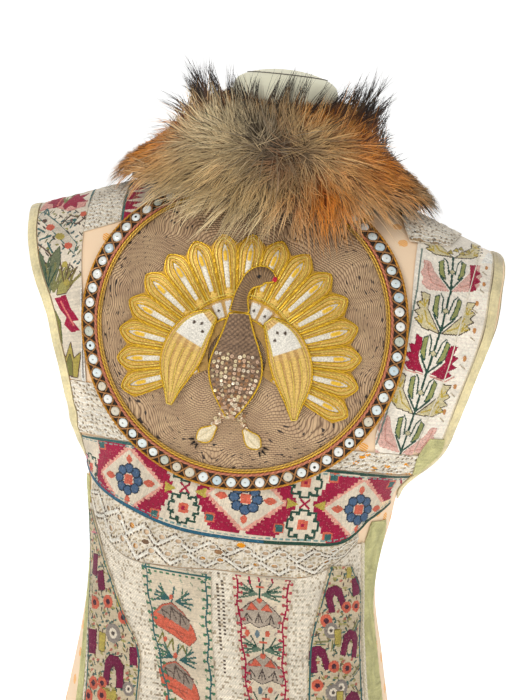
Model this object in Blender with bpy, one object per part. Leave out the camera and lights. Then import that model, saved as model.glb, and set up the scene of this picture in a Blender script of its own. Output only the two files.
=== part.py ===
"""Patchwork waistcoat with a fur collar, worn by a plain limbless dress form. Metres, +Z up.

The back of the garment faces -Y. Its centre back is at x = 0 and the form stands on z = 0.
"""

import math

import bpy
import numpy as np

# Levels above the surface that the form stands on
HEM_Z = 0.062
WAIST_Z = 0.270
UNDERARM_Z = 0.362
BLADE_Z = 0.500

# Shoulder: the tip of the cap and the slope of the shoulder line
TIP_X = 0.223
TIP_Z = 0.587
SHOULDER_SLOPE = 0.38
RIDGE_ROUNDING = 0.045
NECK_X = 0.078
BACK_NECK_DROP = 0.36
FRONT_NECK_DROP = 0.52

# Cloth
CLOTH = 0.0015
PATCH = 0.0010
SEAM_GAP = 0.0003
LAYER_GAP = 0.0006
FRONT_GAP = 0.003

BAND_WIDTH = 0.009
BAND_LIFT = 0.0009

# Horizontal sections of the garment are superellipses of this power
ROUNDNESS = 2.3

# level, half width, depth of back, depth of front, depth of the armhole edge as a part of those,
# and how far the skirt swings to one side
LEVELS = np.array((
    (HEM_Z, 0.1680, 0.122, 0.120, 0.00, 0.016),
    (0.140, 0.1545, 0.110, 0.107, 0.00, 0.012),
    (0.200, 0.1445, 0.101, 0.098, 0.00, 0.0075),
    (WAIST_Z, 0.1365, 0.096, 0.094, 0.00, 0.001),
    (0.300, 0.1395, 0.097, 0.098, 0.00, 0.000),
    (0.330, 0.1445, 0.099, 0.105, 0.00, 0.000),
    (UNDERARM_Z, 0.1500, 0.103, 0.114, 0.00, 0.000),
    (0.372, 0.1555, 0.104, 0.117, 0.22, 0.000),
    (0.384, 0.1640, 0.105, 0.120, 0.38, 0.000),
    (0.405, 0.1765, 0.107, 0.124, 0.53, 0.000),
    (0.435, 0.1885, 0.109, 0.127, 0.63, 0.000),
    (0.470, 0.1980, 0.111, 0.126, 0.68, 0.000),
    (BLADE_Z, 0.2060, 0.112, 0.122, 0.70, 0.000),
))

# part of the way from blade level up to the shoulder seam, half width of the armhole edge there
UPPER_EDGE = np.array((
    (0.0, 0.2060),
    (0.3, 0.2140),
    (0.6, 0.2205),
    (0.8, 0.2225),
    (1.0, TIP_X),
))

# How far the garment sits off centre at the armholes: level, or height along the edge above blade
# level, then the shift of the left and of the right edge towards +X
EDGE_RISE = 0.123
EDGE_SHIFT = np.array((
    (UNDERARM_Z, 0.0000, 0.0000),
    (0.373, 0.0060, 0.0000),
    (0.384, 0.0130, 0.0015),
    (0.396, 0.0175, 0.0065),
    (0.410, 0.0215, 0.0090),
    (0.440, 0.0250, 0.0080),
    (0.470, 0.0225, 0.0080),
    (0.500, 0.0200, 0.0085),
    (0.517, 0.0125, 0.0090),
    (0.533, 0.0075, 0.0070),
    (0.555, 0.0030, 0.0030),
    (0.580, 0.0000, 0.0000),
    (BLADE_Z + EDGE_RISE, -0.0070, -0.0070),
))

BACK, FRONT = -1, 1


def smooth(at, knots, values):
    """A smooth curve through the knots: each piece is a cubic whose end slopes are those of its neighbours."""
    slopes = np.gradient(values, knots)
    i = np.clip(np.searchsorted(knots, at) - 1, 0, len(knots) - 2)
    width = knots[i + 1] - knots[i]
    w = np.clip((at - knots[i]) / width, 0, 1)
    return (
        values[i] * (1 + 2 * w) * (1 - w) ** 2
        + values[i + 1] * w * w * (3 - 2 * w)
        + width * (slopes[i] * w * (1 - w) ** 2 - slopes[i + 1] * w * w * (1 - w))
    )


def level_value(level, column):
    return smooth(level, LEVELS[:, 0], LEVELS[:, column])


def row_interp(at, known, values):
    """Linear interpolation where every point has its own row of known places and values."""
    rows = np.arange(len(at))
    i = np.clip((known < at[:, None]).sum(axis=1), 1, known.shape[1] - 1)
    low, high = known[rows, i - 1], known[rows, i]
    w = np.clip((at - low) / (high - low), 0, 1)
    return values[rows, i - 1] * (1 - w) + values[rows, i] * w


def path_length(*axes):
    """Length along each row of points, from its first."""
    steps = np.sqrt(sum(np.diff(axis, axis=1) ** 2 for axis in axes))
    return np.hstack((np.zeros((len(steps), 1)), np.cumsum(steps, axis=1)))


def section(level, face):
    """The half section at each level from its centre to its side: x, depth and length along it."""
    edge = level_value(level, 1)
    depth = level_value(level, 2 if face == BACK else 3)
    ratio = np.clip(level_value(level, 4), 0, 1)
    half = edge * (1 - ratio ** ROUNDNESS) ** (-1 / ROUNDNESS)
    angle = np.linspace(0, math.pi / 2, 129)
    x = half[:, None] * np.sin(angle) ** (2 / ROUNDNESS)
    y = depth[:, None] * np.cos(angle) ** (2 / ROUNDNESS)
    return x, y, path_length(x, y)


def shoulder_z(x):
    """Height of the shoulder line, rounded off at the middle."""
    away = np.sqrt(x * x + RIDGE_ROUNDING ** 2)
    return TIP_Z + SHOULDER_SLOPE * (math.hypot(TIP_X, RIDGE_ROUNDING) - away)


def column_arc(x, y):
    """The arc of each column from blade level over to the shoulder seam: angle and length along it."""
    angle = np.linspace(0, math.pi / 2, 97)[None, :].repeat(len(x), axis=0)
    height = shoulder_z(x) - BLADE_Z
    length = path_length(y[:, None] * np.cos(angle), height[:, None] * np.sin(angle))
    return angle, length


def hull(s, t, face):
    """Points of the cloth's outer face: s along the section from the centre, t up from the floor.

    Above blade level t goes on along each column's arc, up to the shoulder seam.
    """
    shape = np.shape(s)
    s, t = np.ravel(s).astype(float), np.ravel(t).astype(float)
    level = np.minimum(t, BLADE_Z)
    xs, ys, lengths = section(level, face)
    x = row_interp(np.abs(s), lengths, xs)
    y = row_interp(np.abs(s), lengths, ys)
    angles, arcs = column_arc(x, y)
    angle = row_interp(np.maximum(t - BLADE_Z, 0), arcs, angles)
    height = shoulder_z(x) - BLADE_Z
    x = np.sign(s) * x + level_value(level, 5)
    points = np.stack((x, face * y * np.cos(angle), level + height * np.sin(angle)), axis=-1)
    return points.reshape(*shape, 3)


def s_of_x(x, level, face):
    """Length along the section at which it is x from the middle."""
    xs, _, lengths = section(np.atleast_1d(level), face)
    return row_interp(np.atleast_1d(x), xs, lengths)


def edge_shift(height, side):
    return side * smooth(np.maximum(height, UNDERARM_Z), EDGE_SHIFT[:, 0], EDGE_SHIFT[:, 1 if side < 0 else 2])


def low_edge(level, face, side):
    """s of the side seam below the underarm and of the armhole edge above it, up to blade level."""
    half_width = level_value(level, 1) * 0.99999 + edge_shift(level, side)
    return s_of_x(half_width, level, face)


def column_top(s, face):
    """t of the shoulder seam on the column at s."""
    x, y, lengths = section(np.full(np.shape(s), BLADE_Z), face)
    at = np.abs(s)
    _, arcs = column_arc(row_interp(at, lengths, x), row_interp(at, lengths, y))
    return BLADE_Z + arcs[:, -1]


def high_edge(part_way, face, side):
    """s of the armhole edge above blade level."""
    half_width = smooth(part_way, UPPER_EDGE[:, 0], UPPER_EDGE[:, 1])
    half_width += edge_shift(BLADE_Z + part_way * EDGE_RISE, side)
    return s_of_x(half_width, np.full(len(part_way), BLADE_Z), face)


def moved_out(s, t, face, offset):
    """Hull points moved out along their normals, which are the cross product of two short steps."""
    step = 0.0004
    s, t = np.asarray(s, float), np.asarray(t, float)
    reach = section(np.minimum(t.ravel(), BLADE_Z), face)[2][:, -1].reshape(t.shape) - step
    near = np.clip(s, -reach, reach)
    across = hull(near + step, t, face) - hull(near - step, t, face)
    up = hull(near, t + step, face) - hull(near, t - step, face)
    normal = np.cross(across, up)
    normal *= -face / np.linalg.norm(normal, axis=-1, keepdims=True)
    return hull(s, t, face) + normal * np.asarray(offset)[..., None]


def grid_faces(rows, columns, start=0, wrap_rows=False, wrap_columns=False):
    """Triangles of a grid of points, row by row from the index start."""
    r = np.arange(rows if wrap_rows else rows - 1)[:, None]
    c = np.arange(columns if wrap_columns else columns - 1)[None, :]
    a = start + r * columns + c
    b = start + r * columns + (c + 1) % columns
    d = start + (r + 1) % rows * columns + c
    e = start + (r + 1) % rows * columns + (c + 1) % columns
    halves = (np.stack((a, b, e), axis=-1), np.stack((a, e, d), axis=-1))
    return np.concatenate([half.reshape(-1, 3) for half in halves])


def material(name, rgb, roughness, metallic=0.0):
    made = bpy.data.materials.new(name)
    made.use_nodes = True
    shader = made.node_tree.nodes["Principled BSDF"]
    shader.inputs["Base Color"].default_value = (*rgb, 1.0)
    shader.inputs["Roughness"].default_value = roughness
    shader.inputs["Metallic"].default_value = metallic
    made.diffuse_color = (*rgb, 1.0)
    return made


def solid(name, points, faces, finish):
    """An object from points and triangles, turned so that its faces look outwards."""
    corners = points[faces]
    volume = np.einsum("ij,ij->i", corners[:, 0], np.cross(corners[:, 1], corners[:, 2])).sum()
    if volume < 0:
        faces = faces[:, ::-1]
    mesh = bpy.data.meshes.new(name)
    mesh.from_pydata(points.tolist(), [], faces.tolist())
    mesh.materials.append(finish)
    mesh.shade_smooth()
    mesh.set_sharp_from_angle(angle=math.radians(35))
    made = bpy.data.objects.new(name, mesh)
    bpy.context.scene.collection.objects.link(made)
    return made


def slab(name, inner, outer, finish, loop=False, holes=None):
    """A wall between two grids of points, closed round its rim. A loop joins its last row to its first.

    Where holes marks a cell of the grid, the wall is cut through there.
    """
    rows, columns = inner.shape[:2]
    cells = np.ones((rows if loop else rows - 1, columns - 1), bool)
    if holes is not None:
        cells &= ~holes
    count = rows * columns
    shift = count * np.array(((0,), (1,)))
    r, c = np.nonzero(cells)
    a, b = r * columns + c, r * columns + c + 1
    d, e = (r + 1) % rows * columns + c, (r + 1) % rows * columns + c + 1
    faces = []
    for side, turn in ((1, 1), (0, -1)):
        for triangle in ((a, b, e), (a, e, d)):
            faces.append(np.stack(triangle, axis=-1)[:, ::turn] + shift[side])
    for start, end in ((a, b), (b, e), (e, d), (d, a)):
        faces.append(rim_faces(start, end, count, (a, b, e, d)))
    used = np.unique(np.concatenate(faces))
    renumber = np.full(2 * count, -1)
    renumber[used] = np.arange(len(used))
    points = np.concatenate((inner.reshape(-1, 3), outer.reshape(-1, 3)))[used]
    return solid(name, points, renumber[np.concatenate(faces)], finish)


def rim_faces(start, end, count, corners):
    """Walls along the edges from start to end that no neighbouring cell shares."""
    a, b, e, d = corners
    edges = set()
    for first, last in ((a, b), (b, e), (e, d), (d, a)):
        edges.update(zip(first.tolist(), last.tolist()))
    alone = np.array([(q, p) not in edges for p, q in zip(start.tolist(), end.tolist())])
    p, q = start[alone], end[alone]
    quads = (np.stack((p, q, q + count), axis=-1), np.stack((p, q + count, p + count), axis=-1))
    return np.concatenate(quads)


def rings(name, sections, finish, first_pole=None, last_pole=None):
    """A body from closed sections, each end drawn in to a pole, or its last section joined to its first."""
    count, around = sections.shape[:2]
    points = sections.reshape(-1, 3)
    if first_pole is None:
        return solid(name, points, grid_faces(count, around, 0, True, True), finish)
    faces = [grid_faces(count, around, 0, False, True)]
    i = np.arange(around)
    j = (i + 1) % around
    low, high = len(points), len(points) + 1
    last = (count - 1) * around
    faces.append(np.stack((j, i, np.full(around, low)), axis=-1))
    faces.append(np.stack((last + i, last + j, np.full(around, high)), axis=-1))
    points = np.concatenate((points, [first_pole], [last_pole]))
    return solid(name, points, np.concatenate(faces), finish)


# Rows of the foundation: levels up to blade level, then parts of the way up to the shoulder seam
LOW_ROWS = np.array((
    HEM_Z, 0.110, 0.155, 0.195, 0.228, 0.252, 0.272, 0.292, 0.310, 0.325, 0.338, 0.350, UNDERARM_Z,
    0.367, 0.373, 0.380, 0.390, 0.403, 0.420, 0.440, 0.470, BLADE_Z,
))
HIGH_ROWS = np.array((0.18, 0.36, 0.54, 0.70, 0.82, 0.92, 1.0))

# Columns of the foundation: half widths at the shoulder tip's level, with one at the neck's edge
BACK_COLUMNS = np.array((0.0, 0.032, 0.055, 0.070, NECK_X, 0.100, 0.125, 0.150, 0.175, 0.199, TIP_X)) / TIP_X
FRONT_COLUMNS = np.array((0.0, 0.045, 0.070, NECK_X, 0.112, 0.148, 0.186, TIP_X)) / TIP_X


def panel(name, face, across, neck_drop, finish):
    """A foundation panel: columns at the given parts of the way from its centre line to its edge."""
    centre_gap = FRONT_GAP / 2 if face == FRONT else 0.0
    seam = SEAM_GAP / 2 * (LOW_ROWS <= UNDERARM_Z)
    s = np.zeros((len(LOW_ROWS) + len(HIGH_ROWS), len(across)))
    for side in (-1, 1):
        edge = np.concatenate((low_edge(LOW_ROWS, face, side) - seam, high_edge(HIGH_ROWS, face, side)))
        there = across * side > 0
        s[:, there] = across[there] * (edge[:, None] - centre_gap)
    s += centre_gap * np.sign(across[-1]) * (face == FRONT)
    t = LOW_ROWS[:, None].repeat(len(across), axis=1)
    neck = 1 - (np.abs(across) * TIP_X / NECK_X) ** 2
    drop = neck_drop * np.sqrt(np.clip(neck, 0, 1))
    for row, part_way in enumerate(HIGH_ROWS):
        top = column_top(s[len(LOW_ROWS) + row], face) - SEAM_GAP / 2
        t = np.vstack((t, BLADE_Z + part_way * (1 - drop) * (top - BLADE_Z)))
    inner = moved_out(s, t, face, np.full(s.shape, -CLOTH))
    outer = moved_out(s, t, face, np.zeros(s.shape))
    return slab(name, inner, outer, finish)


def armhole_path(face, side):
    """The armhole edge from the underarm up to the shoulder tip: how far it is from the centre in s, and t."""
    low = UNDERARM_Z + (BLADE_Z - UNDERARM_Z) * np.linspace(0, 1, 11) ** 1.6
    high = np.linspace(0, 1, 9)[1:]
    low_s = low_edge(low, face, side)
    high_s = high_edge(high, face, side)
    high_t = BLADE_Z + high * (column_top(high_s, face) - BLADE_Z)
    return np.concatenate((low_s, high_s)), np.concatenate((low, high_t))


def inset(s, t, face, tangent, width):
    """Moves an edge inwards over the cloth by width: solves for the steps in s and t that give that shift.

    The edge runs up the back, over the shoulder and down the front.
    """
    step = 0.0004
    along_s = (hull(s, t, face) - hull(s - step, t, face)) / step
    along_t = (hull(s, t, face) - hull(s, t - step, face)) / step
    inward = np.cross(-face * np.cross(along_s, along_t), tangent)
    inward *= width / np.linalg.norm(inward, axis=-1, keepdims=True)
    ss, st, tt = ((p * q).sum(axis=-1) for p, q in
                  ((along_s, along_s), (along_s, along_t), (along_t, along_t)))
    right_s, right_t = (inward * along_s).sum(axis=-1), (inward * along_t).sum(axis=-1)
    scale = ss * tt - st * st
    return s + (right_s * tt - right_t * st) / scale, t + (right_t * ss - right_s * st) / scale


def armhole_band(name, side, finish):
    """The band along one armhole edge, all the way round, as a loop of short stretches across its width."""
    s_back, t_back = armhole_path(BACK, side)
    s_front, t_front = armhole_path(FRONT, side)
    s = np.concatenate((s_back, s_front[-2:0:-1]))
    t = np.concatenate((t_back, t_front[-2:0:-1]))
    faces = np.concatenate((np.full(len(s_back), BACK), np.full(len(s_front) - 2, FRONT)))
    points = np.where((faces == BACK)[:, None], hull(s, t, BACK), hull(s, t, FRONT))
    tangent = np.roll(points, -1, axis=0) - np.roll(points, 1, axis=0)
    walls = [[], []]
    for width in (0.0, BAND_WIDTH / 2, BAND_WIDTH):
        row = []
        for face in (BACK, FRONT):
            inner_s, inner_t = (s, t) if width == 0 else inset(s, t, face, tangent, width)
            row.append((side * inner_s, inner_t))
        for wall, offset in zip(walls, (BAND_LIFT, BAND_LIFT + PATCH)):
            offsets = np.full(len(s), offset)
            on_back = moved_out(*row[0], BACK, offsets)
            on_front = moved_out(*row[1], FRONT, offsets)
            wall.append(np.where((faces == BACK)[:, None], on_back, on_front))
    inner, outer = (np.stack(wall, axis=1) for wall in walls)
    return slab(name, inner, outer, finish, loop=True)


def resample(edge, count):
    """Evenly spaced points on a smooth curve through the edge's points."""
    edge = np.asarray(edge, float)
    run = np.concatenate(([0], np.cumsum(np.linalg.norm(np.diff(edge, axis=0), axis=1))))
    at = np.linspace(0, run[-1], count)
    return np.stack([smooth(at, run, edge[:, axis]) for axis in (0, 1)], axis=-1)


def ruled(edge_a, edge_b, along, across):
    """A grid of s and t between two edges of a patch."""
    a, b = resample(edge_a, along), resample(edge_b, along)
    w = np.linspace(0, 1, across)[None, :, None]
    grid = a[:, None] * (1 - w) + b[:, None] * w
    return grid[..., 0], grid[..., 1]


def patch(name, edge_a, edge_b, along, across, layer, finish, raised=0.0, holes=None):
    """A piece sewn on the back: its wall lies on the foundation (layer 1) or on such a piece (layer 2)."""
    s, t = ruled(edge_a, edge_b, along, across)
    t = np.minimum(t, column_top(s.ravel(), BACK).reshape(s.shape) - SEAM_GAP)
    base = LAYER_GAP + (layer - 1) * (PATCH + LAYER_GAP)
    inner = moved_out(s, t, BACK, np.full(s.shape, base))
    outer = moved_out(s, t, BACK, np.full(s.shape, base + PATCH) + raised)
    return slab(name, inner, outer, finish, holes=holes)


# Strips down the skirt: level, left edge and right edge, as lengths across the cloth from the centre back
SIDE_LEFT = ((0.312, -0.1500, -0.1420), (0.285, -0.1495, -0.1225), (0.255, -0.1447, -0.1047), (0.225, -0.1393, -0.0873),
             (0.200, -0.1345, -0.0725), (0.150, -0.1309, -0.0689), (HEM_Z, -0.1340, -0.0660))
INNER_LEFT = ((0.2775, -0.0717, -0.0047), (0.216, -0.0597, -0.0017), (0.155, -0.0419, 0.0051), (HEM_Z, -0.0300, 0.0100))
INNER_RIGHT = ((0.2810, 0.0144, 0.0699), (0.219, 0.0224, 0.0655), (0.166, 0.0302, 0.0712), (HEM_Z, 0.0380, 0.0800))
SIDE_RIGHT = ((0.2960, 0.1029, 0.1259), (0.268, 0.0969, 0.1429), (0.220, 0.0865, 0.1420), (0.184, 0.0864, 0.1434),
              (HEM_Z, 0.0960, 0.1560))
CORD_RIGHT = ((0.318, 0.1345, 0.1375), (0.290, 0.1402, 0.1432), (0.262, 0.1461, 0.1491), (0.235, 0.1457, 0.1487),
              (0.200, 0.1460, 0.1490), (0.150, 0.1521, 0.1551), (HEM_Z, 0.1620, 0.1650))
VELVET_RIGHT = ((0.3370, 0.1460, 0.1700), (0.318, 0.1400, 0.1760), (0.290, 0.1447, 0.1757), (0.262, 0.1506, 0.1726),
                (0.235, 0.1502, 0.1732), (0.200, 0.1505, 0.1765), (0.150, 0.1571, 0.1871), (HEM_Z, 0.1670, 0.2000))
VELVET_LEFT = ((0.3420, -0.1735, -0.1555), (0.318, -0.1700, -0.1540), (0.285, -0.1635, -0.1545),
               (0.255, -0.1598, -0.1507), (0.225, -0.1552, -0.1452), (0.200, -0.1515, -0.1405),
               (0.150, -0.1479, -0.1369), (HEM_Z, -0.1510, -0.1400))

# Edges of the pieces under the medallion: length across, level
BAND_TOP = ((-0.1490, 0.3855), (-0.100, 0.3875), (0.000, 0.3875), (0.100, 0.3875), (0.1755, 0.3855))
BAND_BOTTOM = ((-0.1690, 0.353), (-0.140, 0.340), (-0.091, 0.3250), (-0.040, 0.3140), (0.010, 0.3120),
               (0.070, 0.3140), (0.116, 0.3190), (0.140, 0.338), (0.1710, 0.353))
LACE_BOTTOM = ((-0.148, 0.3180), (-0.120, 0.2950), (-0.095, 0.2810), (-0.040, 0.2795), (0.000, 0.2830),
               (0.050, 0.2830), (0.085, 0.2860), (0.110, 0.3000), (0.130, 0.3180))

MEDALLION_T = 0.506
MEDALLION_RADIUS = 0.1475
RING_WIDTH = 0.0150
GROUND = 0.0013


def strip_edges(table):
    rows = np.array(table)
    return rows[:, (1, 0)], rows[:, (2, 0)]


def medallion_edge(radius, levels, side):
    """s of the circle of that radius at each level."""
    return side * np.sqrt(radius ** 2 - (np.asarray(levels) - MEDALLION_T) ** 2)


def band_inner_edge(levels, side):
    """The inner edge of the armhole band on the back at each level, with the seam's gap."""
    s, t = armhole_path(BACK, side)
    tangent = np.gradient(hull(s, t, BACK), axis=0)
    inner_s, inner_t = inset(s, t, BACK, tangent, BAND_WIDTH + 4 * SEAM_GAP)
    return side * np.interp(levels, inner_t, inner_s)


def knit_ground(finish):
    """The knit between crochet band and hem: its sides follow the strips beside it, its top the crochet band."""
    left, right = resample(strip_edges(VELVET_LEFT)[1], 60), resample(strip_edges(CORD_RIGHT)[0], 60)
    top = resample(LACE_BOTTOM, 60)
    even = np.linspace(-1, 1, 21)
    closer_at_sides = 0.5 + 0.375 * np.sin(even * math.pi / 2) + 0.125 * even
    across, down = np.meshgrid(closer_at_sides, np.linspace(0, 1, 12))
    s, t = across * 0.28 - 0.14, np.full(across.shape, WAIST_Z)
    for _ in range(6):
        start = np.interp(s[0], top[:, 0], top[:, 1]) - 4 * SEAM_GAP
        t = start + (HEM_Z - start) * down
        low_s = np.interp(t, left[::-1, 1], left[::-1, 0]) + 2 * SEAM_GAP
        high_s = np.interp(t, right[::-1, 1], right[::-1, 0]) - 2 * SEAM_GAP
        s = low_s + (high_s - low_s) * across
    inner = moved_out(s, t, BACK, np.full(s.shape, LAYER_GAP))
    outer = moved_out(s, t, BACK, np.full(s.shape, LAYER_GAP + PATCH))
    return slab("knit_ground", inner, outer, finish)


def crochet_band(finish):
    """The openwork band: two rows of holes, the second half a repeat from the first."""
    cells_long, cells_wide = 36, 5
    i, j = np.meshgrid(np.arange(cells_long), np.arange(cells_wide), indexing="ij")
    holes = (j % 2 == 1) & (i % 2 == (j // 2) % 2) & (i > 3) & (i < cells_long - 3)
    top = [(s, t - 2 * SEAM_GAP) for s, t in resample(BAND_BOTTOM, 60)
           if LACE_BOTTOM[0][0] < s < LACE_BOTTOM[-1][0]]
    return patch("crochet_band", top, LACE_BOTTOM, cells_long + 1, cells_wide + 1, 1, finish, holes=holes)


def polar(radius, angle, centre_t=MEDALLION_T):
    return radius * np.cos(angle), centre_t + radius * np.sin(angle)


def medallion_ground(base, finish):
    """The disc that the ring and the bird are sewn to, as rings of points from its centre out and back."""
    radii = np.array((0.030, 0.058, 0.084, 0.108, 0.130, MEDALLION_RADIUS))
    angle = np.linspace(0, 2 * math.pi, 40, endpoint=False)
    radius, around = np.meshgrid(radii, angle, indexing="ij")
    s, t = polar(radius, around)
    low = moved_out(s, t, BACK, np.full(s.shape, base))
    high = moved_out(s, t, BACK, np.full(s.shape, base + GROUND))
    poles = [moved_out([0.0], [MEDALLION_T], BACK, [offset])[0] for offset in (base, base + GROUND)]
    return rings("medallion_ground", np.concatenate((low, high[::-1])), finish, *poles)


def laid_ring(name, profile, base, finish, stations=46):
    """A ring round the medallion: profile rows are radius and height over the base."""
    angle = np.linspace(0, 2 * math.pi, stations, endpoint=False)
    around, radius = np.meshgrid(angle, profile[:, 0], indexing="ij")
    height = np.broadcast_to(profile[:, 1], radius.shape)
    s, t = polar(radius, around)
    return rings(name, moved_out(s, t, BACK, base + height), finish)


def bird_fan(base, finish):
    """A spread tail: wedges with rounded ends, each domed along its middle."""
    feathers, start, end = 17, math.radians(-28), math.radians(208)
    part_way = np.linspace(0, 1, 2 * feathers + 1)
    angle = start + (end - start) * part_way
    wave = (np.arange(len(part_way)) % 2)[:, None]
    reach = np.linspace(0, 1, 5)[None, :]
    radius = FAN_INNER + (FAN_OUTER - FAN_INNER - FAN_SCALLOP * (1 - wave)) * reach
    s, t = polar(radius, angle[:, None], FAN_T)
    inner = moved_out(s, t, BACK, np.full(s.shape, base))
    dome = 0.0012 + 0.0014 * wave * np.sin(math.pi * np.clip(reach * 0.9 + 0.1, 0, 1))
    return slab("bird_fan", inner, moved_out(s, t, BACK, base + dome), finish)


def leaf_form(name, spine, widths, base, height, finish, across=5):
    """A padded shape along a spine of s and t, widest and highest where the widths say."""
    spine = resample(spine, len(widths))
    run = np.gradient(spine, axis=0)
    run /= np.linalg.norm(run, axis=1, keepdims=True)
    aside = np.stack((run[:, 1], -run[:, 0]), axis=-1)
    w = np.linspace(-1, 1, across)
    widths = np.array(widths)
    points = spine[:, None] + aside[:, None] * (widths[:, None] * w)[..., None]
    s, t = points[..., 0], points[..., 1]
    dome = 0.0008 + height * (1 - w * w)[None, :] * (widths / widths.max())[:, None]
    inner = moved_out(s, t, BACK, np.full(s.shape, base))
    return slab(name, inner, moved_out(s, t, BACK, base + dome), finish)


FAN_T = 0.478
FAN_INNER = 0.026
FAN_OUTER = 0.110
FAN_SCALLOP = 0.009

# The bird's padded shapes: name, spine of s and t, half widths along it, lift over the ground disc,
# height, thread
BIRD = (
    ("bird_body", ((0.000, 0.425), (0.000, 0.450), (0.000, 0.480), (-0.002, 0.517)),
     (0.0040, 0.0130, 0.0200, 0.0235, 0.0225, 0.0180, 0.0130, 0.0090), 0.0031, 0.0036, "couching"),
    ("bird_neck", ((-0.0022, 0.5190), (-0.0020, 0.5330), (0.0050, 0.5470), (0.0150, 0.5520), (0.0270, 0.5490)),
     (0.0085, 0.0070, 0.0060, 0.0060, 0.0078, 0.0085, 0.0060, 0.0014), 0.0035, 0.0028, "couching"),
    ("bird_wing_left", ((-0.0250, 0.5140), (-0.0400, 0.4970), (-0.0510, 0.4700), (-0.0560, 0.4300)),
     (0.0050, 0.0125, 0.0165, 0.0180, 0.0170, 0.0130, 0.0070, 0.0020), 0.0035, 0.0024, "gold"),
    ("bird_wing_right", ((0.0250, 0.5140), (0.0400, 0.4970), (0.0510, 0.4700), (0.0560, 0.4300)),
     (0.0050, 0.0125, 0.0165, 0.0180, 0.0170, 0.0130, 0.0070, 0.0020), 0.0035, 0.0024, "gold"),
)


# Dress form: level, half width, depth of back, depth of front
FORM_LEVELS = np.array((
    (0.000, 0.144, 0.109, 0.106),
    (0.060, 0.144, 0.110, 0.107),
    (0.140, 0.134, 0.102, 0.099),
    (0.200, 0.129, 0.094, 0.091),
    (WAIST_Z, 0.126, 0.089, 0.087),
    (0.330, 0.135, 0.092, 0.097),
    (UNDERARM_Z, 0.140, 0.095, 0.106),
    (0.405, 0.150, 0.098, 0.115),
    (0.450, 0.160, 0.101, 0.117),
    (BLADE_Z, 0.169, 0.103, 0.113),
))
FORM_CLEARANCE = 0.0009
FORM_NECK = (0.0510, 0.0500)
NECK_TOP_Z = 0.740
NECK_DOME = 0.018
COLLAR_INNER = 0.0580


def form_depth(x, face):
    """Depth of the form at blade level at each x."""
    half, depth = FORM_LEVELS[-1, 1], FORM_LEVELS[-1, 2 if face == BACK else 3]
    return depth * np.clip(1 - np.abs(x / half) ** ROUNDNESS, 0, 1) ** (1 / ROUNDNESS)


def dress_form(finish):
    """Rings from the base up to blade level, then in over the shoulders to the neck, then up to its dome."""
    around = 32
    angle = np.linspace(0, 2 * math.pi, around, endpoint=False)
    cosine, sine = np.cos(angle), np.sin(angle)
    power = 2 / ROUNDNESS
    x_way = np.sign(cosine) * np.abs(cosine) ** power
    y_way = np.sign(sine) * np.abs(sine) ** power
    made = []
    for level in (0, 0.060, 0.130, 0.190, 0.235, WAIST_Z, 0.305, 0.335, UNDERARM_Z, 0.405, 0.450, BLADE_Z):
        half, back, front = (smooth(level, FORM_LEVELS[:, 0], FORM_LEVELS[:, c]) for c in (1, 2, 3))
        depth = np.where(y_way < 0, back, front)
        made.append(np.stack((half * x_way, depth * y_way, np.full(around, level)), axis=-1))
    outline = made[-1]
    neck = np.stack((FORM_NECK[0] * cosine, FORM_NECK[1] * sine), axis=-1) * 1.12
    for part_way in (0.98, 0.93, 0.85, 0.75, 0.62, 0.47, 0.31, 0.15, 0.0):
        plan = neck + (outline[:, :2] - neck) * part_way
        x, y = plan[:, 0], plan[:, 1]
        by_neck = np.clip((0.105 - np.hypot(x, y)) / 0.03, 0, 1)
        height_limit = CLOTH + FORM_CLEARANCE + 0.005 * by_neck * by_neck * (3 - 2 * by_neck)
        depth = np.where(y < 0, form_depth(x, BACK), form_depth(x, FRONT))
        arm = np.clip(1 - np.abs(x / FORM_LEVELS[-1, 1]) ** 12, 0, 1) ** 0.5
        arc = np.sqrt(np.clip(1 - (y / np.maximum(depth, 1e-6)) ** 2, 0, 1))
        z = BLADE_Z + (shoulder_z(x) - height_limit - BLADE_Z) * arc * arm
        made.append(np.column_stack((plan, z)))
    base_z = made[-1][:, 2]
    for share, scale in ((0.06, 1.05), (0.3, 1.0), (1.0, 1.0)):
        ring = np.stack((FORM_NECK[0] * cosine, FORM_NECK[1] * sine), axis=-1) * scale
        z = base_z + (NECK_TOP_Z - NECK_DOME - base_z) * share
        made.append(np.column_stack((ring, z)))
    for tilt in np.radians((25, 50, 72)):
        ring = np.stack((FORM_NECK[0] * cosine, FORM_NECK[1] * sine), axis=-1) * math.cos(tilt)
        z = np.full(around, NECK_TOP_Z - NECK_DOME * (1 - math.sin(tilt)))
        made.append(np.column_stack((ring, z)))
    return rings("dress_form", np.stack(made), finish, (0, 0, 0), (0, 0, NECK_TOP_Z))


def cloth_height(x, y):
    """Height of the garment's outer face over a point in plan, above blade level."""
    depth = np.empty(np.shape(x))
    for face in (BACK, FRONT):
        xs, ys, _ = section(np.full(np.shape(x), BLADE_Z), face)
        depth = np.where((y < 0) == (face == BACK), row_interp(np.abs(x), xs, ys), depth)
    arc = np.sqrt(np.clip(1 - (y / depth) ** 2, 0, 1))
    return BLADE_Z + (shoulder_z(x) - BLADE_Z) * arc


def height_over_cloth(x, y, clear):
    """Height of a point over the garment that is clear of it by that much along its normal."""
    step = 0.0005
    rise_x = (cloth_height(x + step, y) - cloth_height(x - step, y)) / (2 * step)
    rise_y = (cloth_height(x, y + step) - cloth_height(x, y - step)) / (2 * step)
    return cloth_height(x, y) + clear * np.sqrt(1 + rise_x ** 2 + rise_y ** 2)


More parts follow.
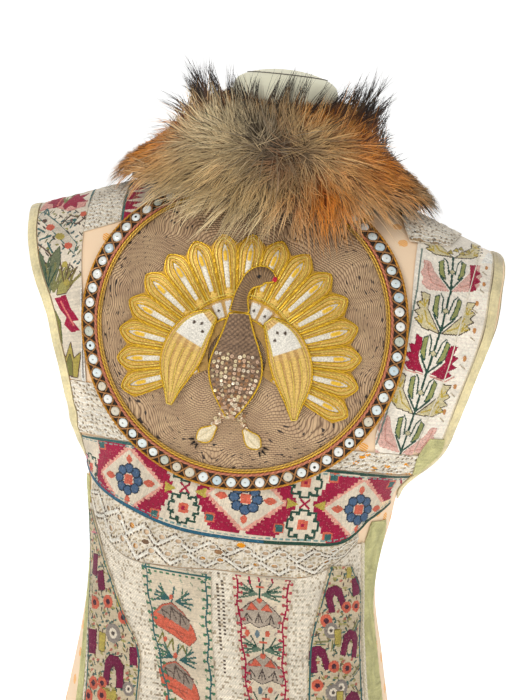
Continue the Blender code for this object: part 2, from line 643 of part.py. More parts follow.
# Fur collar: degrees round the neck from the centre back, where it leaves the cloth, how far its
# tips reach, how far above that they lie, the height of its top, its clearance over the cloth, and
# the power of its rounding
COLLAR = np.array((
    (0, 0.093, 0.130, 0.001, 0.715, 0.0070, 0.95),
    (30, 0.097, 0.133, 0.002, 0.718, 0.0070, 1.10),
    (60, 0.118, 0.144, 0.007, 0.718, 0.0070, 1.50),
    (78, 0.135, 0.150, 0.007, 0.717, 0.0056, 1.75),
    (90, 0.141, 0.152, 0.007, 0.716, 0.0040, 1.80),
    (105, 0.136, 0.148, 0.007, 0.713, 0.0014, 1.70),
    (120, 0.128, 0.142, 0.007, 0.708, 0.0011, 1.50),
    (150, 0.106, 0.126, 0.006, 0.696, 0.0011, 1.10),
    (168, 0.100, 0.120, 0.004, 0.682, 0.0011, 1.00),
))


def fur_collar(finish):
    """One closed body as far as the fur reaches: it follows the cloth below and is rounded above."""
    stations = np.radians(np.linspace(-168, 168, 45))
    random = np.random.default_rng(7)
    made = []
    for station, phi in enumerate(stations):
        degrees = abs(math.degrees(phi))
        contact, reach, rise, top, clear, power = (
            smooth(degrees, COLLAR[:, 0], COLLAR[:, c]) for c in range(1, 7))
        foot = np.linspace(COLLAR_INNER, contact, 6)
        foot_z = height_over_cloth(foot * math.sin(phi), -foot * math.cos(phi), clear)
        tip_z = foot_z[-1] + rise
        turn = np.radians((0, 14, 28, 42, 56, 70, 82, 90))
        tuft = 0.035 * random.uniform(-1, 1) + 0.025 * random.uniform(-1, 1, len(turn))
        lock = 1 + tuft * np.cos(turn) ** 0.5
        lock[0] += 0.03 * (-1) ** station
        r = COLLAR_INNER + (reach - COLLAR_INNER) * np.clip(np.cos(turn), 0, 1) ** power * lock
        z = tip_z + (top - tip_z) * np.sin(turn) ** power
        r, z = np.concatenate((foot, r)), np.concatenate((foot_z, z))
        closing = 1 if degrees < 160 else 0.82
        middle_r, middle_z = r.mean(), z.mean()
        r, z = middle_r + (r - middle_r) * closing, middle_z + (z - middle_z) * closing
        made.append(np.stack((r * math.sin(phi), -r * math.cos(phi), z), axis=-1))
    made = np.stack(made)
    ends = []
    for section_points, phi in ((made[0], stations[0]), (made[-1], stations[-1])):
        outward = math.copysign(0.010, phi)
        ends.append(section_points.mean(axis=0) + outward * np.array((math.cos(phi), math.sin(phi), 0)))
    return rings("fur_collar", made, finish, *ends)


def front_and_back(cotton):
    both_sides = np.concatenate((-BACK_COLUMNS[:0:-1], BACK_COLUMNS))
    panel("back_panel", BACK, both_sides, BACK_NECK_DROP, cotton)
    panel("front_left", FRONT, -FRONT_COLUMNS, FRONT_NECK_DROP, cotton)
    panel("front_right", FRONT, FRONT_COLUMNS, FRONT_NECK_DROP, cotton)


def yoke(linen, crochet, plain, velvet):
    """The pieces between medallion and armholes."""
    left_levels = np.array((0.437, 0.455, 0.470, 0.485, 0.500, 0.512, 0.524, 0.537, 0.552, 0.570, 0.595, 0.6305))
    left_outer = np.column_stack((band_inner_edge(left_levels, -1), left_levels))
    left_inner = ((-0.140, 0.437), (-0.1425, 0.456), (-0.1478, 0.503), (-0.154, 0.532), (-0.160, 0.564),
                  (-0.164, 0.600), (-0.168, 0.660))
    patch("yoke_strip_left", left_outer, left_inner, 16, 6, 1, linen)
    beside = np.array([q for q in resample(left_inner, 80) if q[1] > 0.572]) + (2 * SEAM_GAP, 0)
    patch("shoulder_lace_left", beside,
          ((-0.127, 0.590), (-0.130, 0.615), (-0.133, 0.675)), 7, 4, 1, crochet)
    patch("shoulder_linen_left", ((-0.126, 0.590), (-0.1292, 0.615), (-0.1322, 0.675)),
          ((-0.100, 0.598), (-0.098, 0.620), (-0.096, 0.690)), 7, 3, 1, linen)
    right_inner = ((0.131, 0.4073), (0.130, 0.422), (0.136, 0.448), (0.142, 0.477), (0.148, 0.531),
                   (0.146, 0.559), (0.144, 0.597), (0.143, 0.671))
    right_outer = ((0.167, 0.4073), (0.1705, 0.422), (0.1765, 0.448), (0.184, 0.477), (0.1930, 0.531),
                   (0.1965, 0.559), (0.2, 0.597), (0.2010, 0.641))
    patch("yoke_strip_right", right_inner, right_outer, 18, 7, 1, linen)
    edge_levels = np.array((0.410, 0.424, 0.448, 0.477, 0.504, 0.531, 0.559, 0.597, 0.6305))
    outer = np.column_stack((band_inner_edge(edge_levels, 1), edge_levels))
    curve = resample(right_outer, 80)
    inner = np.column_stack((np.interp(edge_levels, curve[:, 1], curve[:, 0]) + 3 * SEAM_GAP, edge_levels))
    patch("outer_strip_right", inner, outer, 16, 3, 1, plain)
    patch("shoulder_lace_right", ((0.136, 0.606), (0.127, 0.630), (0.120, 0.682)),
          ((0.172, 0.609), (0.178, 0.630), (0.180, 0.655)), 6, 6, 2, crochet)
    patch("underarm_patch", ((0.1765, 0.3875), (0.1725, 0.400), (0.1750, 0.412), (0.1810, 0.424)),
          ((0.1835, 0.3875), (0.1900, 0.398), (0.1970, 0.410), (0.1965, 0.424)), 5, 4, 2, velvet)


def lower_yoke_lace(crochet):
    for name, side, high in (("yoke_lace_left", -1, 0.4362), ("yoke_lace_right", 1, 0.4066)):
        levels = np.linspace(0.3882, high, 6)
        inner = np.column_stack((medallion_edge(0.141, levels, side), levels))
        outer = np.column_stack((band_inner_edge(levels, side), levels))
        patch(name, inner, outer, 5, 8, 1, crochet)


def skirt(linen, crochet, knit, velvet, cord):
    patch("cross_stitch_band", BAND_BOTTOM, BAND_TOP, 31, 6, 1, linen)
    crochet_band(crochet)
    knit_ground(knit)
    strips = (("strip_side_left", SIDE_LEFT), ("strip_inner_left", INNER_LEFT),
              ("strip_inner_right", INNER_RIGHT), ("strip_side_right", SIDE_RIGHT))
    for name, table in strips:
        patch(name, *strip_edges(table), 12, 6, 2, linen)
    patch("velvet_left", *strip_edges(VELVET_LEFT), 14, 3, 1, velvet)
    patch("velvet_right", *strip_edges(VELVET_RIGHT), 14, 4, 1, velvet)
    patch("seam_cord_right", *strip_edges(CORD_RIGHT), 16, 3, 1, cord, raised=np.array((0.0, 0.0012, 0.0)))


def medallion(couching, braid, gold):
    base = PATCH + 2 * LAYER_GAP
    medallion_ground(base, couching)
    top = base + GROUND + LAYER_GAP
    outer = MEDALLION_RADIUS
    inner = outer - RING_WIDTH
    profile = np.array((
        (inner, 0.0), (outer, 0.0), (outer, 0.0008), (outer - 0.0013, 0.0020), (outer - 0.0028, 0.0009),
        (inner + 0.0032, 0.0009), (inner + 0.0016, 0.0021), (inner, 0.0008),
    ))
    laid_ring("medallion_ring", profile, top, braid)
    cord = inner - 0.0008
    laid_ring("laid_cord", np.array((
        (cord - 0.0036, 0.0), (cord, 0.0), (cord, 0.0009), (cord - 0.0018, 0.0017), (cord - 0.0036, 0.0009),
    )), top, gold)
    bird_fan(top + 0.0003, gold)
    for name, spine, widths, lift, height, thread in BIRD:
        leaf_form(name, spine, widths, top + lift, height, couching if thread == "couching" else gold)


def main():
    for old in list(bpy.data.objects):
        bpy.data.objects.remove(old, do_unlink=True)
    cotton = material("peach printed cotton", (0.86, 0.66, 0.46), 0.85)
    linen = material("embroidered linen", (0.66, 0.58, 0.50), 0.85)
    crochet = material("cream crochet", (0.78, 0.72, 0.62), 0.9)
    knit = material("cream knit", (0.80, 0.74, 0.63), 0.9)
    plain = material("pale linen", (0.74, 0.67, 0.58), 0.85)
    velvet = material("chartreuse velvet", (0.60, 0.58, 0.30), 0.8)
    sateen = material("cream sateen", (0.84, 0.76, 0.56), 0.45)
    cord = material("cream cord", (0.80, 0.75, 0.64), 0.8)
    couching = material("couched brown thread", (0.33, 0.20, 0.12), 0.5)
    braid = material("gold and black braid", (0.30, 0.17, 0.06), 0.45)
    gold = material("gold thread", (0.80, 0.52, 0.12), 0.35, 0.4)
    fur = material("fox fur", (0.26, 0.17, 0.10), 0.9)
    jersey = material("form cover", (0.80, 0.78, 0.66), 0.7)
    dress_form(jersey)
    front_and_back(cotton)
    armhole_band("armhole_band_left", -1, sateen)
    armhole_band("armhole_band_right", 1, sateen)
    yoke(linen, crochet, plain, velvet)
    lower_yoke_lace(crochet)
    skirt(linen, crochet, knit, velvet, cord)
    medallion(couching, braid, gold)
    fur_collar(fur)


if __name__ == "__main__":
    main()
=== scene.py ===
"""An embroidered patchwork waistcoat with a fur collar on a dress form: its looks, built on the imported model.

Lengths are in metres, +Z is up, and the back of the garment faces -Y. Places on the back are given as
s, the length across the cloth from the centre back, and t, the length up the cloth from the floor.
"""

import math
from functools import partial

import bmesh
import bpy
import numpy as np
from mathutils import Matrix, Vector


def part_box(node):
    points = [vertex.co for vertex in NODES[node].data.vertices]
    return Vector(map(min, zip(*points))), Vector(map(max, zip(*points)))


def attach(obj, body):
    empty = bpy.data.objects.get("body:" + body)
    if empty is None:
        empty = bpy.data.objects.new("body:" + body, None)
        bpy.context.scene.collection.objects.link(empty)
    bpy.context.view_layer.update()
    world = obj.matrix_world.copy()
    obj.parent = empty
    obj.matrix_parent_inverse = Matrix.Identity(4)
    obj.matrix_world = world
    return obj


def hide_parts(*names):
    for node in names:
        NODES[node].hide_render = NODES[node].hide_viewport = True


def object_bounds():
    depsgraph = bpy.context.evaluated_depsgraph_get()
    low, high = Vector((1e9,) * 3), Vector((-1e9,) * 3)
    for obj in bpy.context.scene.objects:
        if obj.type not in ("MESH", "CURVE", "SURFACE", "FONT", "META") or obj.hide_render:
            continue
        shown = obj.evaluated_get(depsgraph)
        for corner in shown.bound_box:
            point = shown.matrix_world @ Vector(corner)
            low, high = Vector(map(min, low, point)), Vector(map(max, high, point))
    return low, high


bl_info = {
    "name": "Embroidered waistcoat",
    "version": (1, 0, 0),
    "blender": (4, 5, 0),
    "location": "View3D > Sidebar > Waistcoat",
    "description": "Builds the cloth, embroidery, fur and stage of an embroidered waistcoat",
    "category": "Object",
}

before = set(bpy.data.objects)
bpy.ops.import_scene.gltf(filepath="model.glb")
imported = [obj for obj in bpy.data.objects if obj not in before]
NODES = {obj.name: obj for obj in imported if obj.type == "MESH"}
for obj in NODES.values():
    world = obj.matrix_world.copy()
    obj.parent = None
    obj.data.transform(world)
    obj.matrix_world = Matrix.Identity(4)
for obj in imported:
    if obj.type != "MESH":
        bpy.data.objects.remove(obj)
CAD_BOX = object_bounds()
BACK, FRONT = -1, 1


def linear(hex_colour):
    """An sRGB hex value as linear RGB: the standard sRGB curve."""
    value = np.array([int(hex_colour[i:i + 2], 16) for i in (1, 3, 5)]) / 255
    return np.where(value <= 0.04045, value / 12.92, ((value + 0.055) / 1.055) ** 2.4)


def dye(value, name, description):
    """A colour property whose default is an sRGB hex value."""
    return bpy.props.FloatVectorProperty(name=name, description=description, subtype="COLOR", size=3, min=0.0,
                                         max=1.0, default=tuple(linear(value)))


def length(value, name, description):
    """A length property, in metres."""
    return bpy.props.FloatProperty(name=name, description=description, default=value, min=value / 4,
                                   max=value * 4, precision=5, subtype="DISTANCE", unit="LENGTH")


class WaistcoatColours(bpy.types.PropertyGroup):
    """Colours of the cloth, the threads and the fur."""

    peach: dye("#f8e0c0", "Peach cotton", "Ground of the printed cotton")
    orange: dye("#f7a21c", "Print", "Round flowers printed on the cotton")
    linen: dye("#e6d8c2", "Linen", "Ground of the embroidered strips")
    cream: dye("#ebdfca", "Cream yarn", "Crochet, knit and cords")
    crimson: dye("#a00e3a", "Crimson thread", "Blocks, flames and vines")
    plum: dye("#74183f", "Plum thread", "Arches on the side strips")
    coral: dye("#cf6249", "Coral thread", "Bells, flower centres and rings")
    teal: dye("#34625f", "Teal thread", "Vines and leaves on the left")
    blue: dye("#45607f", "Blue thread", "Petals of the counted flowers")
    green: dye("#24483a", "Green thread", "Crossed flowers and stems")
    yellow: dye("#b5a24e", "Yellow thread", "Buds and small blocks")
    brown: dye("#5a4234", "Brown thread", "Outlines")
    velvet: dye("#dbd597", "Velvet", "Chartreuse velvet")
    sateen: dye("#ecdcaa", "Sateen", "Bands of the armholes")
    gold: dye("#e6b72e", "Gold cord", "Cords round the feathers")
    silver: dye("#d8cdb4", "Silver thread", "Padding inside the feathers")
    tan: dye("#c4a679", "Tan fur", "Most of the collar")
    rust: dye("#c86708", "Rust fur", "Sides of the collar")
    slate: dye("#47423f", "Slate fur", "Parting of the collar")
    tip: dye("#1c1410", "Hair tips", "Guard hairs and dark tips")


class WaistcoatSizes(bpy.types.PropertyGroup):
    """Sizes of the stitches, cords, sequins and hair."""

    stitch: length(0.0010, "Counted stitch", "Side of one counted cross stitch")
    fine: length(0.0009, "Free stitch", "Width of one stitch of the free embroidery")
    thread: length(0.0011, "Thread spacing", "Distance between threads of the linen")
    cord: length(0.0008, "Cord", "Radius of the gold cords")
    sequin: length(0.0044, "Sequin", "Radius of the sequins")
    hair: length(0.042, "Hair", "Length of the collar's outer hair")
    hair_width: length(0.00047, "Hair width", "Half width of a lock of hair")
    sequins: bpy.props.IntProperty(name="Sequins", description="Sequins round the medallion", default=69, min=3)
    hairs: bpy.props.IntProperty(name="Hairs", description="Locks in each coat of the collar", default=11500,
                                 min=100)
    feathers: bpy.props.IntProperty(name="Feathers", description="Feathers of the tail", default=17, min=3)


def shade(value):
    """Linear RGB of a hex value, or of a colour property by its name."""
    if value[0] == "#":
        return linear(value)
    return np.array(getattr(bpy.context.scene.waistcoat_colours, value))


def sizes():
    return bpy.context.scene.waistcoat_sizes


# --- Form of the cloth, as the model has it ---

HEM_Z, WAIST_Z, UNDERARM_Z, BLADE_Z = 0.062, 0.270, 0.362, 0.500
TIP_X, TIP_Z, SHOULDER_SLOPE, RIDGE_ROUNDING = 0.223, 0.587, 0.38, 0.045
NECK_X, BACK_NECK_DROP, FRONT_NECK_DROP = 0.078, 0.36, 0.52
CLOTH, PATCH, SEAM_GAP, LAYER_GAP, FRONT_GAP = 0.0015, 0.0010, 0.0003, 0.0006, 0.003
ROUNDNESS, JUST_INSIDE = 2.3, 0.99999
SECTION_POINTS, ARC_POINTS = 129, 97

# level, half width, depth of back, depth of front, depth of the armhole edge as a part of those, swing
LEVELS = np.array((
    (HEM_Z, 0.1680, 0.122, 0.120, 0.00, 0.016),
    (0.140, 0.1545, 0.110, 0.107, 0.00, 0.012),
    (0.200, 0.1445, 0.101, 0.098, 0.00, 0.0075),
    (WAIST_Z, 0.1365, 0.096, 0.094, 0.00, 0.001),
    (0.300, 0.1395, 0.097, 0.098, 0.00, 0.000),
    (0.330, 0.1445, 0.099, 0.105, 0.00, 0.000),
    (UNDERARM_Z, 0.1500, 0.103, 0.114, 0.00, 0.000),
    (0.372, 0.1555, 0.104, 0.117, 0.22, 0.000),
    (0.384, 0.1640, 0.105, 0.120, 0.38, 0.000),
    (0.405, 0.1765, 0.107, 0.124, 0.53, 0.000),
    (0.435, 0.1885, 0.109, 0.127, 0.63, 0.000),
    (0.470, 0.1980, 0.111, 0.126, 0.68, 0.000),
    (BLADE_Z, 0.2060, 0.112, 0.122, 0.70, 0.000),
))
# part of the way from blade level up to the shoulder seam, half width of the armhole edge there
UPPER_EDGE = np.array(((0.0, 0.2060), (0.3, 0.2140), (0.6, 0.2205), (0.8, 0.2225), (1.0, TIP_X)))
# height along the armhole edge, shift of the left and of the right edge towards +X
EDGE_RISE = 0.123
EDGE_SHIFT = np.array((
    (UNDERARM_Z, 0.0000, 0.0000), (0.373, 0.0060, 0.0000), (0.384, 0.0130, 0.0015),
    (0.396, 0.0175, 0.0065), (0.410, 0.0215, 0.0090), (0.440, 0.0250, 0.0080),
    (0.470, 0.0225, 0.0080), (0.500, 0.0200, 0.0085), (0.517, 0.0125, 0.0090),
    (0.533, 0.0075, 0.0070), (0.555, 0.0030, 0.0030), (0.580, 0.0000, 0.0000),
    (BLADE_Z + EDGE_RISE, -0.0070, -0.0070),
))


def smooth(at, knots, values):
    """A cubic through each pair of knots whose end slopes are the neighbours' mean slopes."""
    slopes = np.gradient(values, knots)
    i = np.clip(np.searchsorted(knots, at) - 1, 0, len(knots) - 2)
    width = knots[i + 1] - knots[i]
    w = np.clip((at - knots[i]) / width, 0, 1)
    return (values[i] * (1 + 2 * w) * (1 - w) ** 2 + values[i + 1] * w * w * (3 - 2 * w)
            + width * (slopes[i] * w * (1 - w) ** 2 - slopes[i + 1] * w * w * (1 - w)))


def row_interp(at, known, values):
    """Linear interpolation where every point has its own row of known places and values."""
    rows = np.arange(len(at))
    i = np.clip((known < at[:, None]).sum(axis=1), 1, known.shape[1] - 1)
    low, high = known[rows, i - 1], known[rows, i]
    w = np.clip((at - low) / (high - low), 0, 1)
    return values[rows, i - 1] * (1 - w) + values[rows, i] * w


def unit(v):
    return v / np.linalg.norm(v, axis=-1, keepdims=True)


def path_length(*axes):
    """Length along each row of points from its first: the sum of its steps."""
    steps = np.sqrt(sum(np.diff(axis, axis=1) ** 2 for axis in axes))
    return np.hstack((np.zeros((len(steps), 1)), np.cumsum(steps, axis=1)))


def at_level(level, column):
    """One column of LEVELS at each level."""
    return smooth(level, LEVELS[:, 0], LEVELS[:, column])


def turned(x, y, degrees):
    """Places on two axes as places on the same axes turned by some degrees."""
    a = math.radians(degrees)
    return x * math.cos(a) + y * math.sin(a), y * math.cos(a) - x * math.sin(a)


def section(level, face):
    """A superellipse |x/a|^n + |y/b|^n = 1 at each level, from its centre to its side."""
    ratio = np.clip(at_level(level, 4), 0, 1)
    half = at_level(level, 1) * (1 - ratio ** ROUNDNESS) ** (-1 / ROUNDNESS)
    angle = np.linspace(0, math.pi / 2, SECTION_POINTS)
    x = half[:, None] * np.sin(angle) ** (2 / ROUNDNESS)
    y = at_level(level, 2 if face == BACK else 3)[:, None] * np.cos(angle) ** (2 / ROUNDNESS)
    return x, y, path_length(x, y)


def shoulder_z(x):
    """Height of the shoulder line: a straight slope each way, rounded at the middle by a hyperbola."""
    away = np.sqrt(x * x + RIDGE_ROUNDING ** 2)
    return TIP_Z + SHOULDER_SLOPE * (math.hypot(TIP_X, RIDGE_ROUNDING) - away)


def column_arc(x, y):
    """A quarter ellipse over each column from blade level to the shoulder seam: angle and length."""
    angle = np.linspace(0, math.pi / 2, ARC_POINTS)[None, :].repeat(len(x), axis=0)
    height = shoulder_z(x) - BLADE_Z
    return angle, path_length(y[:, None] * np.cos(angle), height[:, None] * np.sin(angle))


def hull(s, t, face):
    """The cloth's outer face: along a level's section to s, and above blade level up the column's arc."""
    shape = np.shape(s)
    s, t = np.ravel(s).astype(float), np.ravel(t).astype(float)
    level = np.minimum(t, BLADE_Z)
    xs, ys, lengths = section(level, face)
    x, y = row_interp(np.abs(s), lengths, xs), row_interp(np.abs(s), lengths, ys)
    angles, arcs = column_arc(x, y)
    angle = row_interp(np.maximum(t - BLADE_Z, 0), arcs, angles)
    rise = (shoulder_z(x) - BLADE_Z) * np.sin(angle)
    x = np.sign(s) * x + at_level(level, 5)
    return np.stack((x, face * y * np.cos(angle), level + rise), axis=-1).reshape(*shape, 3)


def s_of_x(x, level, face):
    """Length along the section at which it is x from the middle."""
    xs, _, lengths = section(np.atleast_1d(level), face)
    return row_interp(np.atleast_1d(x), xs, lengths)


def edge_shift(height, side):
    height = np.maximum(height, UNDERARM_Z)
    return side * smooth(height, EDGE_SHIFT[:, 0], EDGE_SHIFT[:, 1 if side < 0 else 2])


def low_edge(level, face, side):
    """s of the side seam, and above the underarm of the armhole edge, up to blade level."""
    return s_of_x(at_level(level, 1) * JUST_INSIDE + edge_shift(level, side), level, face)


def high_edge(part_way, face, side):
    """s of the armhole edge above blade level."""
    half_width = smooth(part_way, UPPER_EDGE[:, 0], UPPER_EDGE[:, 1])
    half_width = half_width + edge_shift(BLADE_Z + part_way * EDGE_RISE, side)
    return s_of_x(half_width, np.full(len(part_way), BLADE_Z), face)


def column_top(s, face):
    """t of the shoulder seam on the column at s."""
    s = np.asarray(s, float)
    at = np.abs(s.ravel())
    x, y, lengths = section(np.full(at.shape, BLADE_Z), face)
    _, arcs = column_arc(row_interp(at, lengths, x), row_interp(at, lengths, y))
    return (BLADE_Z + arcs[:, -1]).reshape(s.shape)


# Creases of the cloth, for the back and the front: place, turn from upright in degrees, half length,
# half width and height, as soft ridges or, below zero, troughs
CREASES = {
    BACK: (
        (-0.152, 0.405, -58, 0.045, 0.0070, -0.0016), (-0.148, 0.392, -66, 0.038, 0.0060, 0.0012),
        (-0.128, 0.225, 9, 0.095, 0.0110, 0.0020), (-0.078, 0.180, 14, 0.110, 0.0120, -0.0022),
        (-0.055, 0.120, 10, 0.075, 0.0140, 0.0024), (0.007, 0.190, -4, 0.115, 0.0080, -0.0020),
        (0.042, 0.130, -3, 0.080, 0.0150, 0.0022), (0.076, 0.185, 4, 0.105, 0.0110, -0.0021),
        (0.112, 0.150, -2, 0.090, 0.0140, 0.0022), (0.143, 0.230, 6, 0.085, 0.0070, -0.0016),
        (0.163, 0.285, -20, 0.040, 0.0060, 0.0014), (0.150, 0.330, -52, 0.034, 0.0055, -0.0012),
        (0.168, 0.396, 62, 0.036, 0.0060, 0.0013), (0.205, 0.480, 8, 0.060, 0.0080, 0.0009),
        (-0.190, 0.555, 30, 0.050, 0.0075, 0.0010), (0.176, 0.585, -24, 0.045, 0.0070, 0.0009),
    ),
    FRONT: (
        (-0.150, 0.400, -56, 0.046, 0.0075, 0.0015), (-0.134, 0.210, 8, 0.100, 0.0120, -0.0020),
        (-0.082, 0.165, 12, 0.110, 0.0130, 0.0022), (-0.040, 0.230, 5, 0.080, 0.0100, -0.0018),
        (0.035, 0.150, -6, 0.095, 0.0130, 0.0021), (0.080, 0.200, -9, 0.100, 0.0120, -0.0022),
        (0.128, 0.175, -12, 0.110, 0.0110, 0.0019), (0.156, 0.388, 60, 0.042, 0.0065, -0.0014),
        (-0.178, 0.520, 22, 0.055, 0.0080, 0.0010), (0.182, 0.535, -26, 0.060, 0.0080, 0.0010),
    ),
}


def crease(s, t, face):
    """Sum over the creases of height exp(-(aside / width)^2) cos^2 of the way along its half length."""
    rise = np.zeros(np.broadcast_shapes(np.shape(s), np.shape(t)))
    for s0, t0, turn, long, wide, height in CREASES[face]:
        along, aside = turned(t - t0, s - s0, turn)
        rise += height * np.exp(-(aside / wide) ** 2) * np.cos(np.clip(along / long, -1, 1) * math.pi / 2) ** 2
    return rise


# The cloth's face and its normals, worked out once every 2 mm of s and t and interpolated between
GRID_STEP, NEAR = 0.002, 0.0004
GRID_S = np.arange(-126, 127) * GRID_STEP
GRID_T = np.arange(25, 358) * GRID_STEP


def face_table(face):
    """Points of the hull on the grid, and normals: the cross product of the steps along s and t."""
    points, normals = [], []
    for rows in np.array_split(GRID_T, 24):
        s, t = np.meshgrid(GRID_S, rows)
        reach = section(np.minimum(t.ravel(), BLADE_Z), face)[2][:, -1].reshape(t.shape) - NEAR
        near = np.clip(s, -reach, reach)
        across = hull(near + NEAR, t, face) - hull(near - NEAR, t, face)
        up = hull(near, t + NEAR, face) - hull(near, t - NEAR, face)
        points.append(hull(s, t, face))
        normals.append(np.cross(across, up) * -face)
    points, normals = np.concatenate(points), np.concatenate(normals)
    size = np.linalg.norm(normals, axis=-1)
    rows = np.arange(len(size))[:, None]
    good = np.maximum.accumulate(np.where(size > 1e-12, rows, 0), axis=0)
    normals = unit(normals[good, np.arange(size.shape[1])[None, :]])
    rise = crease(GRID_S[None, :], GRID_T[:, None], face)
    return points + normals * rise[..., None], normals


TABLES = {face: face_table(face) for face in (BACK, FRONT)}


def on_cloth(s, t, lift=0.0, face=BACK):
    """A point of the cloth's face moved out by lift along its normal: bilinear between the grid's points."""
    s, t, lift = np.broadcast_arrays(np.asarray(s, float), np.asarray(t, float), np.asarray(lift, float))
    column = np.clip((s - GRID_S[0]) / GRID_STEP, 0, len(GRID_S) - 1.001)
    row = np.clip((t - GRID_T[0]) / GRID_STEP, 0, len(GRID_T) - 1.001)
    c, r = column.astype(int), row.astype(int)
    a, b = (column - c)[..., None], (row - r)[..., None]

    def blended(table):
        low = table[r, c] * (1 - a) + table[r, c + 1] * a
        return low * (1 - b) + (table[r + 1, c] * (1 - a) + table[r + 1, c + 1] * a) * b

    points, normals = TABLES[face]
    return blended(points) + unit(blended(normals)) * lift[..., None]


def normals_at(s, t):
    return (on_cloth(s, t, 0.001) - on_cloth(s, t)) / 0.001


# --- Meshes from whole arrays ---

# the colour attribute that every piece carries, millimetres in a metre, and the turn that makes an edge sharp
COLOUR, MM, SHARP = "Thread", 1000, math.radians(50)


class Parts:
    """Points, faces and what they carry, gathered for one mesh."""

    def __init__(self):
        self.points, self.uvs, self.faces, self.paint, self.count = [], [], [], [], 0

    def add(self, points, uv, faces, paint):
        """faces: rows of corner numbers; paint: a colour for each point, face or (on four axes) corner, or one."""
        points, paint = np.asarray(points, float).reshape(-1, 3), np.asarray(paint, float)
        self.points.append(points)
        self.uvs.append(np.broadcast_to(np.asarray(uv, float).reshape(-1, 2), (len(points), 2)))
        if paint.ndim == 2 and len(paint) == len(points) != len(faces):
            paint = paint[faces.ravel()]
        elif paint.ndim < 4:
            paint = np.broadcast_to(paint, (len(faces), 3)).repeat(faces.shape[1], axis=0)
        self.count += len(points)
        self.close(faces, paint.reshape(-1, 3), len(points))

    def close(self, faces, paint, last):
        """Faces on the last points that were added, with a colour for each corner or for all."""
        self.faces.append(faces + self.count - last)
        self.paint.append(np.broadcast_to(paint, (faces.size, 3)))

    def caps(self, rows, around, paint):
        """The two ends of a tube of sections."""
        ends = np.stack((np.arange(around)[::-1], (rows - 1) * around + np.arange(around)))
        self.close(ends, paint[ends.ravel()] if np.ndim(paint) > 1 else paint, rows * around)

    def build(self, name, finish, slot, replaces=()):
        """The object. A mesh whose signed volume is negative is turned the other way out."""
        points, uv = np.concatenate(self.points), np.concatenate(self.uvs)
        volume = sum(np.einsum("ij,ij->", points[f[:, 0]], np.cross(points[f[:, k]], points[f[:, k + 1]]))
                     for f in self.faces for k in range(1, f.shape[1] - 1))
        if volume < 0:
            self.paint = [p.reshape(*f.shape, 3)[:, ::-1].reshape(-1, 3) for f, p in zip(self.faces, self.paint)]
            self.faces = [f[:, ::-1] for f in self.faces]
        mesh = bpy.data.meshes.new(name)
        mesh.from_pydata(points.tolist(), [], [row for faces in self.faces for row in faces.tolist()])
        loops = np.concatenate([faces.ravel() for faces in self.faces])
        mesh.uv_layers.new(name="Cloth").data.foreach_set("uv", uv[loops].astype(np.float32).ravel())
        colours = np.pad(np.concatenate(self.paint), ((0, 0), (0, 1)), constant_values=1)
        layer = mesh.color_attributes.new(COLOUR, "FLOAT_COLOR", "CORNER")
        layer.data.foreach_set("color", np.clip(colours, 0, 1).astype(np.float32).ravel())
        if mesh.validate():
            raise RuntimeError(f"{name}: its faces needed mending")
        mesh.shade_smooth()
        mesh.set_sharp_from_angle(angle=SHARP)
        mesh.materials.append(finish)
        return placed(bpy.data.objects.new(name, mesh), slot, replaces)


def placed(made, slot, replaces=()):
    """Puts an object in the scene, where it rides on the one body there is."""
    bpy.context.scene.collection.objects.link(made)
    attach(made, "root")
    if replaces:
        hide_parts(*replaces)
    return made


def full_turn(count):
    return np.linspace(0, 2 * math.pi, count, endpoint=False)


def joined(*axes):
    """Places from an array for each axis."""
    return np.stack(np.broadcast_arrays(*axes), axis=-1)


def grid_quads(rows, columns, wrap_rows=False, wrap_columns=False):
    """Corner numbers of a grid's cells, row by row."""
    r = np.arange(rows if wrap_rows else rows - 1)[:, None, None]
    c = np.arange(columns if wrap_columns else columns - 1)[:, None]
    return ((r + (0, 0, 1, 1)) % rows * columns + (c + (0, 1, 1, 0)) % columns).reshape(-1, 4)


def shell(parts, outer, inner, uv, paint, edge_paint, loop=False):
    """A closed wall: each section is a row of the fine outer grid and, backwards, one of the coarse inner one.

    paint holds a colour for each cell or for each point of the outer grid. A loop's last row meets its first.
    """
    (rows, columns), few = outer.shape[:2], inner.shape[1]
    around = columns + few
    pick = np.linspace(columns - 1, 0, few).round().astype(int)
    faces = grid_quads(rows, around, loop, True).reshape(-1, around, 4)
    tints = np.broadcast_to(edge_paint, (*faces.shape, 3)).copy()
    if paint.shape[:2] == (rows, columns):
        tints[:, :-few - 1] = np.pad(paint, ((0, 0), (0, few), (0, 0))).reshape(-1, 3)[faces[:, :-few - 1]]
    else:
        tints[:, :-few - 1] = np.broadcast_to(paint, (len(faces), columns - 1, 3))[:, :, None]
    parts.add(np.concatenate((outer, inner[:, ::-1]), axis=1), np.concatenate((uv, uv[:, pick]), axis=1),
              faces.reshape(-1, 4), tints)
    if not loop:
        parts.caps(rows, around, edge_paint)


